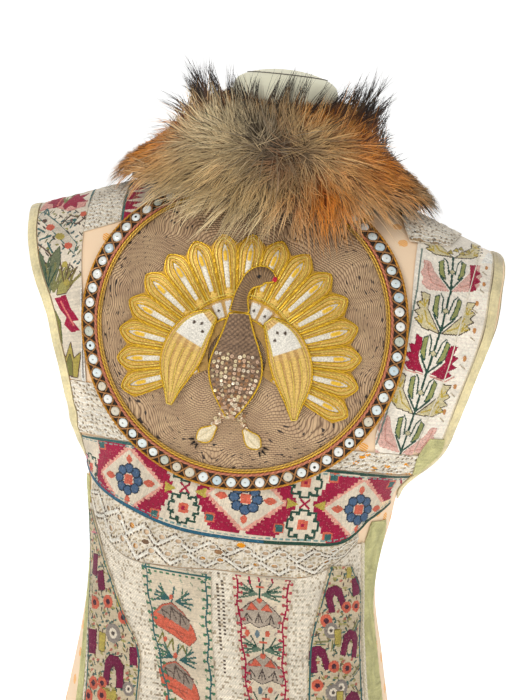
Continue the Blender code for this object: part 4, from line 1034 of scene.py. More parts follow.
def coat(name, finish, seed, length_scale, dark_share, spread, share=1.0, low=0.0, thick=1.0, out=1.0, droop=1.0,
         tuft=1.0, up=0.0):
    """A coat of hair as thin three-sided locks: root + length (u direction + u^2 bend), shrinking to a point.

    The hair lies away from a parting right of the centre back. The locks of one tuft lean and draw together.
    """
    size, random = sizes(), np.random.default_rng(seed)
    count = int(size.hairs * share)
    phi = random.uniform(-math.radians(COLLAR_END), math.radians(COLLAR_END), count)
    rise = random.uniform(low, 1.0, count)
    core, skin = collar_point(phi, rise, 0.68), collar_point(phi, rise)
    step = 0.01
    around = unit(collar_point(phi + step, rise) - collar_point(phi - step, rise))
    upward = unit(collar_point(phi, np.minimum(rise + step, 1)) - collar_point(phi, np.maximum(rise - step, 0)))
    outward = unit(np.cross(around, upward))
    outward *= np.sign((outward * (skin - core)).sum(axis=1, keepdims=True))
    tuft_wide, tuft_tall = 0.075 * tuft, 0.13 * tuft
    column = phi / tuft_wide + 40
    row = rise / tuft_tall + 0.5 * (np.floor(column) % 2)
    own_tuft = np.floor(column).astype(int), np.floor(row).astype(int)
    lean_of, tone_of = random.normal(0, 0.34, (80, 12, 3))[own_tuft], random.uniform(0.80, 1.22, (80, 12))[own_tuft]
    degrees = np.degrees(phi)
    sideways = np.clip((degrees - 8 + 40 * (rise - 0.5)) / 35, -1, 1)[:, None]
    lie = upward * np.clip((rise - 0.46) * 5, -1, 1)[:, None] + around * sideways * 0.85
    lie += lean_of + random.normal(0, spread, (count, 3))
    lie = unit(lie - outward * (lie * outward).sum(axis=1, keepdims=True))
    long = size.hair * length_scale * random.uniform(0.65, 1.15, count)[:, None]
    long *= (1 + 0.25 * np.clip(1 - rise / 0.3, 0, 1) + (tuft - 1) * (tone_of - 1))[:, None]
    limit = np.where(core[:, 1:2] < 0, -CAD_BOX[0][1], CAD_BOX[1][1]) + PAST_DEPTH - np.abs(core[:, 1:2])
    limit_z = CAD_BOX[1][2] + PAST_TOP - core[:, 2:]
    lean = np.clip(np.linalg.norm(skin - core, axis=1, keepdims=True) * 1.05 * out / long, 0.14, 0.93)
    direction = outward * lean + lie * np.sqrt(1 - lean ** 2)
    upright = joined(1.1 * np.sin(phi), 0, np.cos(phi / 2))
    direction = unit(direction + up * upright * np.clip((rise - 0.5) * 3, 0, 1)[:, None])
    long = np.minimum(long, limit / np.maximum(np.abs(direction[:, 1:2]), 0.1))
    long = np.minimum(long, limit_z / np.maximum(direction[:, 2:], 0.1))
    bend = (outward * -0.30 + lie * 0.15 + np.array((0, 0, -0.14))) * droop + random.normal(0, 0.08, (count, 3))
    aside = around * ((column % 1 - 0.5) * tuft_wide * 0.12)[:, None] + \
        upward * ((row % 1 - 0.5) * tuft_tall * 0.12)[:, None]
    u = np.array((0.0, 0.36, 0.7, 1.0))[None, :, None]
    line = (core - direction * 0.15 * long)[:, None] + long[:, None] * (
        direction[:, None] * u + bend[:, None] * u ** 2 * 0.5) - 0.85 * aside[:, None] * u ** 2
    side = unit(np.cross(direction, outward))
    normal = np.cross(side, direction)
    half = (size.hair_width * thick * random.uniform(0.6, 1.3, count))[:, None, None] * \
        np.array((0.8, 1.0, 0.62))[None, :, None]
    corners = np.radians((-30, 90, 210))[None, None, :, None]
    rings = line[:, :3, None] + half[..., None] * (
        np.cos(corners) * side[:, None, None] + 0.55 * np.sin(corners) * normal[:, None, None])
    points = np.concatenate((rings.reshape(count, 9, 3), line[:, 3:]), axis=1)
    rust, slate, pale = patches(phi, rise)
    bands = []
    for plain, light, red, grey in (("#7c684b", "#988665", "#7d3f08", "#383331"), ("tan", "#dbc9a2", "rust", "slate"),
                                    ("#c3a571", "#ead9b2", "#dc840f", "#6b6258")):
        bands.append(mixed(mixed(mixed(shade(plain), light, pale * 0.8), red, rust), grey, slate * 0.8))
    rim = np.clip((rise - 0.55) / 0.3, 0, 1) + np.clip((np.abs(degrees) - 48) / 30, 0, 1)
    dark = random.random((count, 1)) < dark_share * (0.12 + rim[:, None])
    last = np.where(dark, shade("tip"), bands[2])
    own = random.uniform(0.6, 1.35, (count, 1)) * tone_of[:, None]
    blend = np.where(dark, 0.35, 1.0)
    bands = [c * own for c in (bands[0], bands[1] * blend + last * (1 - blend), last, last)]
    paint = np.stack([bands[k] for k in (0, 0, 0, 1, 1, 1, 2, 2, 2, 3)], axis=1).reshape(-1, 3)
    parts, offset = Parts(), (np.arange(count) * 10)[:, None, None]
    parts.add(points, (0, 0), (grid_quads(3, 3, False, True) + offset).reshape(-1, 4), paint)
    for faces in (((6, 7, 9), (7, 8, 9), (8, 6, 9)), ((2, 1, 0),)):
        faces = (np.array(faces) + offset).reshape(-1, 3)
        parts.close(faces, paint[faces.ravel()], len(paint))
    parts.build(name, finish, "fur")


def fur_core(finish):
    """The body under the hairs: the collar's sections drawn in a little, each closed on its own foot."""
    phi = np.radians(np.linspace(1 - COLLAR_END, COLLAR_END - 1, 120))[:, None]
    contact, clear = (smooth(np.abs(np.degrees(phi)), COLLAR[:, 0], COLLAR[:, c]) for c in (1, 5))
    foot = COLLAR_INNER + 0.002 + (contact - COLLAR_INNER - 0.006) * np.linspace(0, 1, 8)
    x, y = foot * np.sin(phi), -foot * np.cos(phi)
    p, r = np.broadcast_arrays(phi, np.linspace(0, 1, 22))
    sections = np.concatenate((joined(x, y, cloth_height(x, y) + clear + 0.0022), collar_point(p, r, 0.70)), axis=1)
    rust, slate, _ = patches(p, r)
    tone = mixed(mixed(linear("#7d6b52"), "#94571c", rust), "#2c2927", slate * 0.7)
    paint = np.concatenate((np.broadcast_to(linear("#3c342b"), (120, 8, 3)), tone), axis=1).reshape(-1, 3)
    parts = Parts()
    parts.add(sections, (0, 0), grid_quads(120, 30, False, True), paint)
    parts.caps(120, 30, paint)
    parts.build("fur_core", finish, "fur", ("fur_collar",))


# --- Medallion ---

MEDALLION_T, MEDALLION_RADIUS, RING_WIDTH, GROUND = 0.506, 0.1475, 0.0150, 0.0013
SEQUINS_RADIUS, PADDING = 0.1400, 0.0008
DISC_BASE = PATCH + 2 * LAYER_GAP
TOP = DISC_BASE + GROUND + LAYER_GAP


def polar(radius, angle, centre_t=MEDALLION_T):
    return radius * np.cos(angle), centre_t + radius * np.sin(angle)


def round_cord(parts, radius, thick, lift, colour, twist, around=8, steps=720):
    """A cord laid in a circle on the medallion."""
    s, t = polar(radius, full_turn(steps))
    laid(parts, s, t, lift, thick, colour, twist, around, closed=True)


def medallion_disc(finish):
    """The couched ground: a disc of rings of points, closed over its rim below."""
    radii = np.concatenate((np.linspace(0.002, 0.1465, 60), [MEDALLION_RADIUS, MEDALLION_RADIUS, 0.08, 0.01]))
    lifts = np.concatenate((np.full(60, GROUND), [GROUND - 0.0004, 0.0, 0.0, 0.0])) + DISC_BASE
    s, t = polar(radii[:, None], full_turn(160))
    parts = Parts()
    parts.add(on_cloth(s, t, lifts[:, None]), joined(s, t), grid_quads(64, 160, False, True), (1, 1, 1))
    parts.caps(64, 160, (1, 1, 1))
    parts.build("medallion_disc", finish, "couching", ("medallion_ground",))


def ring_bed(finish):
    """The dark strip that the sequins are sewn to: a flat ring with a rounded section."""
    outer, inner = MEDALLION_RADIUS - 0.0004, MEDALLION_RADIUS - RING_WIDTH + 0.0004
    profile = np.array(((inner, 0.0), (outer, 0.0), (outer, 0.0006), (outer - 0.002, 0.0010),
                        (inner + 0.002, 0.0010), (inner, 0.0006)))
    s, t = polar(profile[:, 0], full_turn(240)[:, None])
    parts = Parts()
    parts.add(on_cloth(s, t, TOP + profile[None, :, 1]), joined(s, t),
              grid_quads(240, len(profile), True, True), linear("#33261c"))
    parts.build("ring_bed", finish, "braid", ("medallion_ring",))


def sequin_ring(finish, thread):
    """Domed discs with a sewing hole, each held by a stitch or with its hole showing dark."""
    size, random = sizes(), np.random.default_rng(21)
    count = size.sequins
    s, t = polar(SEQUINS_RADIUS + random.normal(0, 0.0002, count), 2 * math.pi * np.arange(count) / count + 0.02)
    middle, up = on_cloth(s, t, TOP + 0.0013), normals_at(s, t)
    up = unit(up + random.normal(0, 0.07, (count, 3)))
    kinds = np.array([linear(c) for c in ("#eef3f0", "#e4eeee", "#c9dbe2", "#ddd2bb", "#f6f5f0", "#c4c8b8")])
    colour = kinds[random.choice(len(kinds), count, p=(0.3, 0.2, 0.13, 0.1, 0.2, 0.07))]
    holes = random.random(count) < 0.14
    rings = ((0.16, 0.0), (0.16, 0.0012), (0.30, 0.0012), (0.75, 0.0009), (0.97, 0.0005), (1.0, 0.0002), (0.97, 0.0))
    paint = np.broadcast_to(colour[:, None, None], (count, len(rings), 20, 3)).copy()
    paint[holes, :2] = linear("#4a423c")
    parts = Parts()
    discs(parts, middle, up, size.sequin * random.uniform(0.93, 1.05, count), rings, 20, paint)
    parts.build("sequins", finish, "braid")
    parts = Parts()
    side = unit(np.cross(up, np.array((0, 0, 1.0))))
    for k in np.flatnonzero(~holes):
        ends = middle[k] + up[k] * 0.0014 + np.array((-1, 0, 1))[:, None] * side[k] * 0.0012
        ends[1] += up[k] * 0.0003
        cord(parts, ends, np.repeat(up[k][None], 3, axis=0), 0.0003, linear("#e9e4d6"), around=5)
    parts.build("sequin_stitches", thread, "braid")


def medallion_cords(gold, copper):
    """The rings of cord beside the sequins, and the wire that crosses between them."""
    parts = Parts()
    round_cord(parts, MEDALLION_RADIUS - 0.0010, 0.0011, TOP + 0.0012, "#cf8f2c", 0.0040)
    round_cord(parts, 0.13075, 0.00110, TOP + 0.0009, "#e0b145", 0.0040)
    round_cord(parts, 0.12870, 0.00095, TOP + 0.0008, "#d0a552", 0.0036)
    parts.build("gold_cords", gold, "gold_thread", ("laid_cord",))
    parts = Parts()
    round_cord(parts, 0.13320, 0.0014, TOP + 0.0013, "#cb7d5e", 0.0050)
    count = sizes().sequins
    angle = np.linspace(0, 4 * math.pi, 2 * count * 12, endpoint=False)
    s, t = polar(SEQUINS_RADIUS + 0.0058 * np.cos(angle * count / 2 + 0.02), angle + 0.02)
    lift = TOP + 0.0019 + 0.0006 * np.sin(angle * count / 2)
    laid(parts, s, t, lift, 0.00075, "#b98450", twist=0.003, around=6, closed=True)
    parts.build("copper_cords", copper, "cord")


# --- Bird on the medallion ---

FAN_T, FAN_INNER, FAN_OUTER, FAN_SCALLOP = 0.478, 0.026, 0.110, 0.009
FAN_START, FAN_END = math.radians(-28), math.radians(208)
PALE_GOLD, TAN_GOLD, DOT = "#f0d468", "#c39a58", "#4b3a2c"

# name, spine of s and t, half widths along it, lift over the ground disc, height
BIRD = (
    ("bird_body", ((0.000, 0.425), (0.000, 0.450), (0.000, 0.480), (-0.002, 0.517)),
     (0.0040, 0.0130, 0.0200, 0.0235, 0.0225, 0.0180, 0.0130, 0.0090), 0.0031, 0.0036),
    ("bird_neck", ((-0.0022, 0.5190), (-0.0020, 0.5330), (0.0050, 0.5470), (0.0150, 0.5520), (0.0270, 0.5490)),
     (0.0085, 0.0070, 0.0060, 0.0060, 0.0078, 0.0085, 0.0060, 0.0014), 0.0035, 0.0028),
    *((f"bird_wing_{name}",
       ((side * 0.0250, 0.5140), (side * 0.0400, 0.4970), (side * 0.0510, 0.4700), (side * 0.0560, 0.4300)),
       (0.0050, 0.0125, 0.0165, 0.0180, 0.0170, 0.0130, 0.0070, 0.0020), 0.0035, 0.0024)
      for name, side in (("left", -1), ("right", 1))),
)


def painted(shape, *layers):
    """Colours for an array of places: each layer is a mask and the colour that it puts there."""
    colour = np.zeros((*shape, 3))
    for mask, value in layers:
        colour[np.broadcast_to(mask, shape)] = shade(value)
    return colour


def stitched(parts, s, t, lift, base, colour, edge):
    """A padded face in stitches over a flat base."""
    shell(parts, on_cloth(s, t, lift), on_cloth(s[:, (0, -1)], t[:, (0, -1)], base), joined(s, t), colour,
          linear(edge))


def feather_half(r, step):
    """Half the width of a feather at r from the fan's middle: a wedge that rounds off at its tip."""
    tip = np.clip((FAN_OUTER - 0.0008 - r) / 0.016, 0, 1)
    return r * math.tan(step / 2) * 0.95 * np.clip(1 - (1 - tip) ** 1.7, 0, 1) ** 0.75


def tail_fan(thread):
    """The spread tail: a dome over each feather, painted as satin stitch by the place in its feather."""
    count = sizes().feathers
    step = (FAN_END - FAN_START) / count
    angle = np.linspace(FAN_START, FAN_END, count * 18 + 1)
    reach = np.linspace(0, 1, 80)
    within = (angle - FAN_START) / step % 1.0 - 0.5
    r = FAN_INNER + (FAN_OUTER - FAN_SCALLOP * np.abs(within[:, None] * 2) ** 1.25 - FAN_INNER) * reach[None, :]
    a = angle[:, None]
    s, t = polar(r, a, FAN_T)
    dome = np.cos(within * math.pi)[:, None] * np.sin(math.pi * np.clip(reach * 0.9 + 0.1, 0, 1))[None, :]
    u, v = r * np.sin(within[:, None] * step), r * np.cos(within[:, None] * step)
    half = feather_half(v, step)
    away = half - np.abs(u)
    insert = (np.abs(u) < 0.30 * half - 0.0002) & (v > 0.062) & (v < 0.1015)
    tear = ((u / (0.0021 * np.clip((0.1005 - v) / 0.010, 0.2, 1))) ** 2 + ((v - 0.0910) / 0.0062) ** 2) < 1
    inner = (v > 0.036) & (v < 0.0525)
    arc = inner & (np.abs(u) < half * 0.74) & (v > 0.038) & (v < 0.0505)
    dots = np.hypot(v - 0.0443, u) < 0.0013
    ribs = np.sin((v + np.abs(u) * 0.6) * 2 * math.pi / 0.0030) > 0.0
    colour = painted(u.shape, (True, "#c0912f"), (away > 0.0010, "#dcae50"), ((away > 0.0010) & ribs, "#ebc566"),
                     ((away > 0.0026) & (away < 0.0036), "#bd8a38"), (insert, "silver"),
                     (insert & ribs, "#e9e2d2"), (tear, "gold"), (inner, TAN_GOLD), (arc, "#ded6c8"),
                     (arc & dots, DOT), (v < 0.036, "#ad8646"))
    lift = TOP + 0.0015 + 0.0014 * dome + 0.0005 * insert + 0.0005 * tear + 0.0003 * arc
    colour *= 1 + 0.16 * (np.random.default_rng(31).random((*u.shape, 1)) - 0.5)
    parts = Parts()
    stitched(parts, s, t, lift, TOP + 0.0003, colour, "#a97f3a")
    parts.build("tail_fan", thread, "gold_thread", ("bird_fan",))


def feather_cords(gold):
    """Cords round each feather and its padding, each a U from the root over the tip and back."""
    parts, size = Parts(), sizes()
    step = (FAN_END - FAN_START) / size.feathers
    for k in range(size.feathers):
        middle = FAN_START + step * (k + 0.5)
        for part, start, end, thick, colour, lift in (
                (1.00, 0.052, 0.1094, 1.05, "gold", 0.0019), (0.72, 0.055, 0.1062, 0.80, PALE_GOLD, 0.0028),
                (0.34, 0.060, 0.1020, 0.85, "gold", 0.0034)):
            way = np.sin(np.linspace(0, math.pi / 2, 34)) ** 0.9
            v = start + (end - start) * way
            u = part * feather_half(FAN_OUTER * 0.4 + (v - FAN_OUTER * 0.4) * (0.1092 - 0.044) / (end - 0.044), step)
            u[-1] = 0
            line_u, line_v = np.concatenate((-u, u[-2::-1])), np.concatenate((v, v[-2::-1]))
            s = line_v * math.cos(middle) - line_u * math.sin(middle)
            t = FAN_T + line_v * math.sin(middle) + line_u * math.cos(middle)
            laid(parts, s, t, TOP + lift, size.cord * thick, colour)
    for radius, lift in ((0.0535, 0.0028), (0.0362, 0.0026), (0.0560, 0.0028)):
        s, t = polar(radius, np.linspace(FAN_START + 0.01, FAN_END - 0.01, 150), FAN_T)
        laid(parts, s, t, TOP + lift, size.cord, "gold" if radius < 0.055 else PALE_GOLD)
    parts.build("feather_cords", gold, "gold_thread")


def leaf_grid(spine, widths, along, across):
    """Places across a spine: spine point + w half_width aside. Gives s, t, the way along, w and half width."""
    line = resample(spine, along)
    run = unit(np.gradient(line, axis=0))
    aside = np.stack((run[:, 1], -run[:, 0]), axis=-1)
    way = np.linspace(0, 1, along)
    half = smooth(way, np.linspace(0, 1, len(widths)), np.array(widths))
    w = np.linspace(-1, 1, across)
    places = line[:, None] + aside[:, None] * (half[:, None] * w)[..., None]
    return places[..., 0], places[..., 1], way[:, None], w[None, :], half[:, None]


def outline(s, t, share=1.0, stop=None):
    """The line round a shape's rows, all or some share of the way out from its middle."""
    rows = np.arange(len(s))[:stop]
    ends, middle = np.repeat((0, -1), len(rows)), s.shape[1] // 2
    rows = np.concatenate((rows, rows[::-1]))
    return [g[rows, middle] + (g[rows, ends] - g[rows, middle]) * share for g in (s, t)]


def bird_form(name, spine, widths, lift, height, thread, cords):
    """A padded shape: height (1 - w^2) over its base, in stitches, with cords laid round its edge."""
    s, t, way, w, half = leaf_grid(spine, widths, 100, 31)
    dome = PADDING + height * (1 - w * w) * half / max(widths)
    x = w * half
    y = way * np.linalg.norm(np.diff(resample(spine, 100), axis=0), axis=1).sum()
    wing = "wing" in name
    if wing:
        rows = np.abs(np.sin(w * 2.5 * math.pi)) > 0.55
        fibres = np.sin((y + np.abs(x) * 0.8) * 2 * math.pi / 0.0022) > 0
        crescent = (way < 0.34) & (way > 0.07) & (np.abs(w) < 0.76)
        spots = np.zeros(s.shape, bool)
        for spot_x, spot_y in ((0.0, 0.0125), (-0.0055, 0.0165), (0.0055, 0.0165)):
            spots |= np.hypot(y - spot_y, x - spot_x) < 0.0015
        colour = painted(s.shape, (True, "#b98d4e"), (fibres, "#cba264"), (rows, "#ddb870"),
                         (way > 0.40, "#b98d4e"), ((way > 0.40) & fibres, "#c8a05e"),
                         ((way > 0.40) & rows, "#e0bb66"), (crescent, "#e4ddcf"), (crescent & spots, DOT))
    elif name == "bird_body":
        scale = np.sin(y * 2 * math.pi / 0.0042) * np.cos(x * 2 * math.pi / 0.0052) > 0.1
        fibres = np.sin((x + y * 0.6) * 2 * math.pi / 0.0016) > 0
        colour = painted(s.shape, (True, "#5c4736"), (fibres, "#7a604a"), (scale, "#94765a"))
    else:
        fibres = np.sin(y * 2 * math.pi / 0.0020 + np.cos(w * 3)) > 0.0
        colour = painted(s.shape, (True, "#6a5138"), (fibres, "#94744f"), (way > 0.93, "#c01530"),
                         (np.hypot(y - 0.0370, x - 0.001) < 0.0016, "#17120f"))
    colour *= 1 + 0.2 * (np.random.default_rng(len(name)).random((*s.shape, 1)) - 0.5)
    base = TOP + lift
    relief = 0.0003 * np.sin(y * 2 * math.pi / 0.0028) * (1 - w * w)
    parts = Parts()
    stitched(parts, s, t, base + dome + relief, base, colour, "#7a5e3a")
    parts.build(name + "_stitched", thread, "gold_thread" if wing else "couching", (name,))
    for share, thick, colour in ((1.0, 1.15, "gold"), (0.80, 0.75, PALE_GOLD)):
        if share == 1.0 or wing:
            places = outline(s, t, share, -5 if name == "bird_neck" else None)
            rise = PADDING + height * (1 - share ** 2)
            laid(cords, *places, base + rise, sizes().cord * thick, colour, closed=True)
    if wing:
        for row in (-0.45, 0.0, 0.45):
            pick = np.arange(42, 90, 3)
            column = int(round((row + 1) * 15))
            laid(cords, s[pick, column], t[pick, column], base + dome[pick, column] + 0.0002, sizes().cord * 0.7,
                 PALE_GOLD)


def feet(thread, cords):
    """Two cream feet in flat satin stitch, outlined in gold, with dark claws."""
    parts = Parts()
    for side in (-1, 1):
        spine = ((side * 0.0130, 0.4150), (side * 0.0190, 0.4080), (side * 0.0280, 0.4005))
        s, t, _, w, _ = leaf_grid(spine, (0.0020, 0.0036, 0.0058, 0.0070, 0.0058, 0.0020), 24, 11)
        colour = painted(s.shape, (True, "#e9d9b6"), (np.sin(w * 7) * np.ones(s.shape) > 0.6, "#d4c096"))
        stitched(parts, s, t, TOP + 0.0004 + PADDING * (1 - w * w), TOP - 0.0001, colour, "#c8b48c")
        laid(cords, *outline(s, t), TOP + 0.0006, 0.0006, "gold", closed=True)
        for turn in (-75, -42, -8):
            a = math.radians(turn)
            start = np.array((side * (0.0270 + 0.0045 * math.cos(a)), 0.4015 + 0.0050 * math.sin(a)))
            line = start + np.linspace(0, 0.0048, 8)[:, None] * np.array((side * math.cos(a), math.sin(a)))
            laid(parts, line[:, 0], line[:, 1], TOP + 0.0007, np.linspace(0.0011, 0.0004, 8), "#1c1612", twist=0)
    parts.build("bird_feet", thread, "gold_thread")


def bird_sequins(finish):
    """Small flat sequins in copper and pink, in rows like scales on the body, and down the legs."""
    random = np.random.default_rng(17)
    _, spine, widths, lift, height = BIRD[0]
    s, t, way, w, half = leaf_grid(spine, widths, 24, 13)
    keep = (np.abs(w) < 0.9) & (way < 0.62) & (random.random(s.shape) < 0.9)
    dome = PADDING + height * (1 - w * w) * half / max(widths)
    over = np.broadcast_to(TOP + lift + dome + 0.0003, s.shape)[keep]
    legs, side = np.repeat(np.linspace(0, 1, 9), 6), np.tile((-1, -1, -1, 1, 1, 1), 9)
    s = np.concatenate((s[keep], side * (0.0075 + 0.006 * legs + random.normal(0, 0.0014, 54))))
    t = np.concatenate((t[keep], 0.430 - 0.014 * legs)) + random.normal(0, 0.0006, len(s))
    over = np.concatenate((over, np.full(54, TOP + 0.0006)))
    up = unit(normals_at(s, t) + random.normal(0, 0.28, (len(s), 3)))
    kinds = np.array([linear(c) for c in ("#c9a588", "#ecd9bb", "#a97c55", "#dcc79c")])
    colours = kinds[random.integers(0, 4, len(s))][:, None, None]
    parts = Parts()
    discs(parts, on_cloth(s, t, over), up, 0.0016 * random.uniform(0.8, 1.2, len(s)),
          ((0.2, 0.0), (0.2, 0.00022), (1.0, 0.0003), (1.0, 0.0)), 8, colours)
    parts.build("bird_sequins", finish, "couching")




# --- Yoke: the pieces between medallion and armholes ---

STEM = """line green 2: 0,0 0,38; line green 1.7: 0,2 10,15; ringed #95985a green 1.8: -6,13 -11,18 -12,31 -9,33
-8,22; line green 1.3: -3,18 -5,31 -8,35; ringed #c9bd94 green 1.4: 0,17.5 2.6,20 0,22.5 -2.6,20"""
ROSE_LEAF = """ringed #e0b2a3 #cf9587 1: -2,1 -22,2 -28,8 -27,15 -30,20 -27,25 -28,34 -22,32 -18,22 -9,10; line
#cb8f80 1.3: -8,5 -19,9 -23,20 -24,30"""
SAW_LEAF = """ringed #d2c499 #4d3f31 2.1: -2,0 -18,2 -27,9 -23,12 -29,16 -24,19 -29,24 -24,27 -27,35 -19,34 -18,20;
spray #c0a53f 1.3: -20,6 7 100 130 160; spray #c0a53f 1.3: -21,22 7 80 110 150; line #c0a53f 1.4: -6,3 -15,8 -20,18"""
FLAME_LEAF = """ringed crimson #7a0c30 1: -4,2 -18,1 -24,6 -19,9 -26,15 -20,17 -25,24 -19,25 -21,34 -15,33 -13,26
-14,16 -9,8; line #d59a88 1.3: -4,0 -20,-1 -27,6"""
LEAVES = ((ROSE_LEAF, 152, 376, -6), (ROSE_LEAF, 155, 408, -10), (SAW_LEAF, 162, 446, -9),
          (FLAME_LEAF, 168, 482, -11), (SAW_LEAF, 176, 520, -6), (ROSE_LEAF, 180, 558, 4), (SAW_LEAF, 178, 596, 6))
FLOWERS = """ringed #dfa093 #c07c6c 1.2: -218,596 -202,604 -184,598 -169,606 -169,616 -218,622; ringed crimson
#7a0c30 1.2: -196,606 -204,602 -206,610 -214,612 -211,620 -217,630 -208,628 -205,640 -199,629 -195,618; ringed
crimson #7a0c30 1.2: -193,606 -189,600 -185,607 -177,603 -179,612 -170,614 -176,621 -172,632 -181,626 -185,638
-190,622; spray #7a8a4a 1.8: -193,612 14 75 95 115; line #dfa093 3: -180,652 -172,656; line #d7746a 2: -200,606
-201,634; line #6b6a35 2.6: -190,628 -190,680; line brown 1.6: -186,581 -180,592 -172,590 -166,598 -164,590 -170,582
-179,583; oval coral: -167,595 3.2 3.6; oval coral: -177,586 2.2 2.2; line teal 2: -211,586 -190,577 -165,560; line
teal 2: -206,560 -195,566; line teal 2: -196,558 -188,549; line teal 2: -212,572 -203,569; ringed #d8cbb6 teal 1.8:
-216,586 -213,594 -190,580 -165,561 -166,552 -192,570; oval coral: -198,575 5 3.6; oval yellow: -184,566 5.2 3.4;
oval coral: -173,558 4.2 3.2; oval brown: -207,582 3 2.4; line brown 1.6: -205,555 -193,549 -180,540; line brown 1.5:
-199,541 -186,535 -170,533; ringed #5f6d52 green 1.3: -186,510 -197,520 -206,536 -208,552 -198,544 -189,530; ringed
#6f7556 #3c4a38 1.3: -185,510 -190,526 -188,545 -182,556 -178,542 -180,524; ringed #a39a58 brown 1.6: -176,512
-176,528 -170,540 -172,528 -164,536 -168,524 -160,527 -167,515; spray #5c6a4a 2.2: -194,520 24 62 80 98 118; spray
#7d7a4a 2.4: -180,514 26 60 78 96 120; spray green 1.3: -187,516 20 70 90 108; spray #8a7f45 2.4: -166,520 18 50 74
100 128; spray brown 1.2: -170,522 20 58 84 112; spray teal 1.4: -205,545 10 100 140 180; spray teal 1.4: -172,588 12
200 225 250; spray teal 1.6: -210,600 10 240 270 300; oval yellow: -173,540 3 3; oval yellow: -168,524 3 3; fill
crimson: -178,508 -167,513 -160,501 -156,498 -151,492 -157,490 -149,483 -158,480 -166,486 -164,493 -171,499; line
#d7746a 1.6: -171,506 -163,496 -156,487; ringed #7d7a3c #4d5a35 1.4: -179,501 -176,484 -167,469 -170,488; ringed
yellow brown 1.8: -168,440 -169,462 -162,456 -158,470 -154,456 -147,463 -149,440; ringed #7d7a3c brown 1.2: -162,440
-161,452 -158,460 -155,452 -154,440; line teal 2.2: -172,660 -163,600 -158,575; line #efe9dc 6: -142,440 -145,480
-150,520; line #6b5d52 1.2: -143,440 -146,480 -151,520"""


def stem_of_leaves(chart):
    """One stem up the right yoke, a pair of leaves every 37 mm: in turn rose, saw-edged yellow and crimson."""
    for leaf, *place in LEAVES:
        chart.motif(leaf, (*place, 0.93, 0))
    for _, *place in LEAVES[1:-1]:
        chart.motif(STEM, (*place, 1.0, 0))
    chart.motif("fill crimson .5: 197,560 204,563 201,568 207,572 201,577 206,582 199,585 202,592 194,590 196,576")


def yoke_strip_right(finish):
    """Linen with the stem of leaves and a worn edge line."""
    levels = (0.4073, 0.422, 0.448, 0.477, 0.531, 0.559, 0.597)
    inner = ((0.131, 0.4073), (0.130, 0.422), (0.136, 0.448), (0.142, 0.477), (0.148, 0.531), (0.146, 0.559),
             (0.144, 0.597), (0.143, 0.671))
    outer = (*zip((0.167, 0.1705, 0.1765, 0.184, 0.1930, 0.1965, 0.2), levels), (0.2010, 0.641))
    chart = ruled(inner, outer, sizes().fine, ground="#f1e7d6", seed=11)
    stem_of_leaves(chart)
    chart.motif("line #76857a 1.6: 148,600 150,560 147,500 140,460 131,415")
    chart.motif("ringed yellow brown 1.2: -2.5,-2 2.5,-2 0,3.5", (174, 602), (179, 607), (185, 604), (190, 609),
                (183, 611))
    chart.build("yoke_strip_right", finish, "linen")
    return outer


def scattered(chart, share, rows, where=True, scatter=0.9):
    """Short strokes in several threads: step, size, slant, colour and turn of each."""
    for step, size, slant, colour, turn in rows:
        chart.paint(chart.marks(step, size, slant, scatter, share, turn) & where, colour, 0.0003)


def yoke_strip_left(finish):
    """Linen with free flowers: upright crimson petals above, an oblong branch, leaves, a flag and a tulip."""
    levels = np.array((0.437, 0.455, 0.470, 0.485, 0.500, 0.512, 0.524, 0.537, 0.552, 0.570, 0.595, 0.6305))
    outer = np.column_stack((band_inner_edge(levels, -1), levels))
    inner = ((-0.140, 0.437), (-0.1425, 0.456), (-0.1478, 0.503), (-0.154, 0.532), (-0.160, 0.564),
             (-0.164, 0.600), (-0.168, 0.660))
    chart = ruled(outer, inner, sizes().fine, seed=12)
    scattered(chart, 0.45, (((8, 6.0), (3.2, 0.8), 0.4, "#3f5f60", 35), ((7, 7.5), (2.6, 0.8), -0.3, "#6d6a40", 80),
                            ((10, 8.0), (3.0, 0.9), 0.2, "#4a3f36", -40),
                            ((9, 9.5), (2.2, 1.0), 0.6, "#9a9252", 10)), (chart.y > 530) & (chart.y < 600), 0.7)
    chart.motif(FLOWERS)
    chart.build("yoke_strip_left", finish, "linen")
    return inner


def openwork(name, chart, finish, pitch=(4.2, 5.2), hole=(0.8, 1.3), turn=28.0):
    """White cotton lace: slanted eyelets and small gaps in uneven rows, painted dark as shade in the holes, between
    raised, looped ribs painted whiter, partly as their own yarn and partly as highlight.
    """
    rib = np.abs(np.sin(math.pi * (chart.y + 1.2 * np.sin(chart.x / 2.6)) / pitch[1])) < 0.40
    # painted shade in the small gaps and the eyelets; the raised ribs are painted whiter, partly as a painted
    # highlight
    chart.paint(chart.marks((6.1, 4.9), (2.0, 1.0), 0.3, 0.9, 0.7, -20.0), "#cdbb9f", -0.0002)
    chart.paint(rib, "#f5eddf", 0.0006)
    chart.paint(chart.marks(pitch, hole, 0.0, 0.7, 0.75, turn), "#9c8a72", -0.0005)
    chart.build(name, finish, "crochet", ripple=0.0005, streaks=0.20)


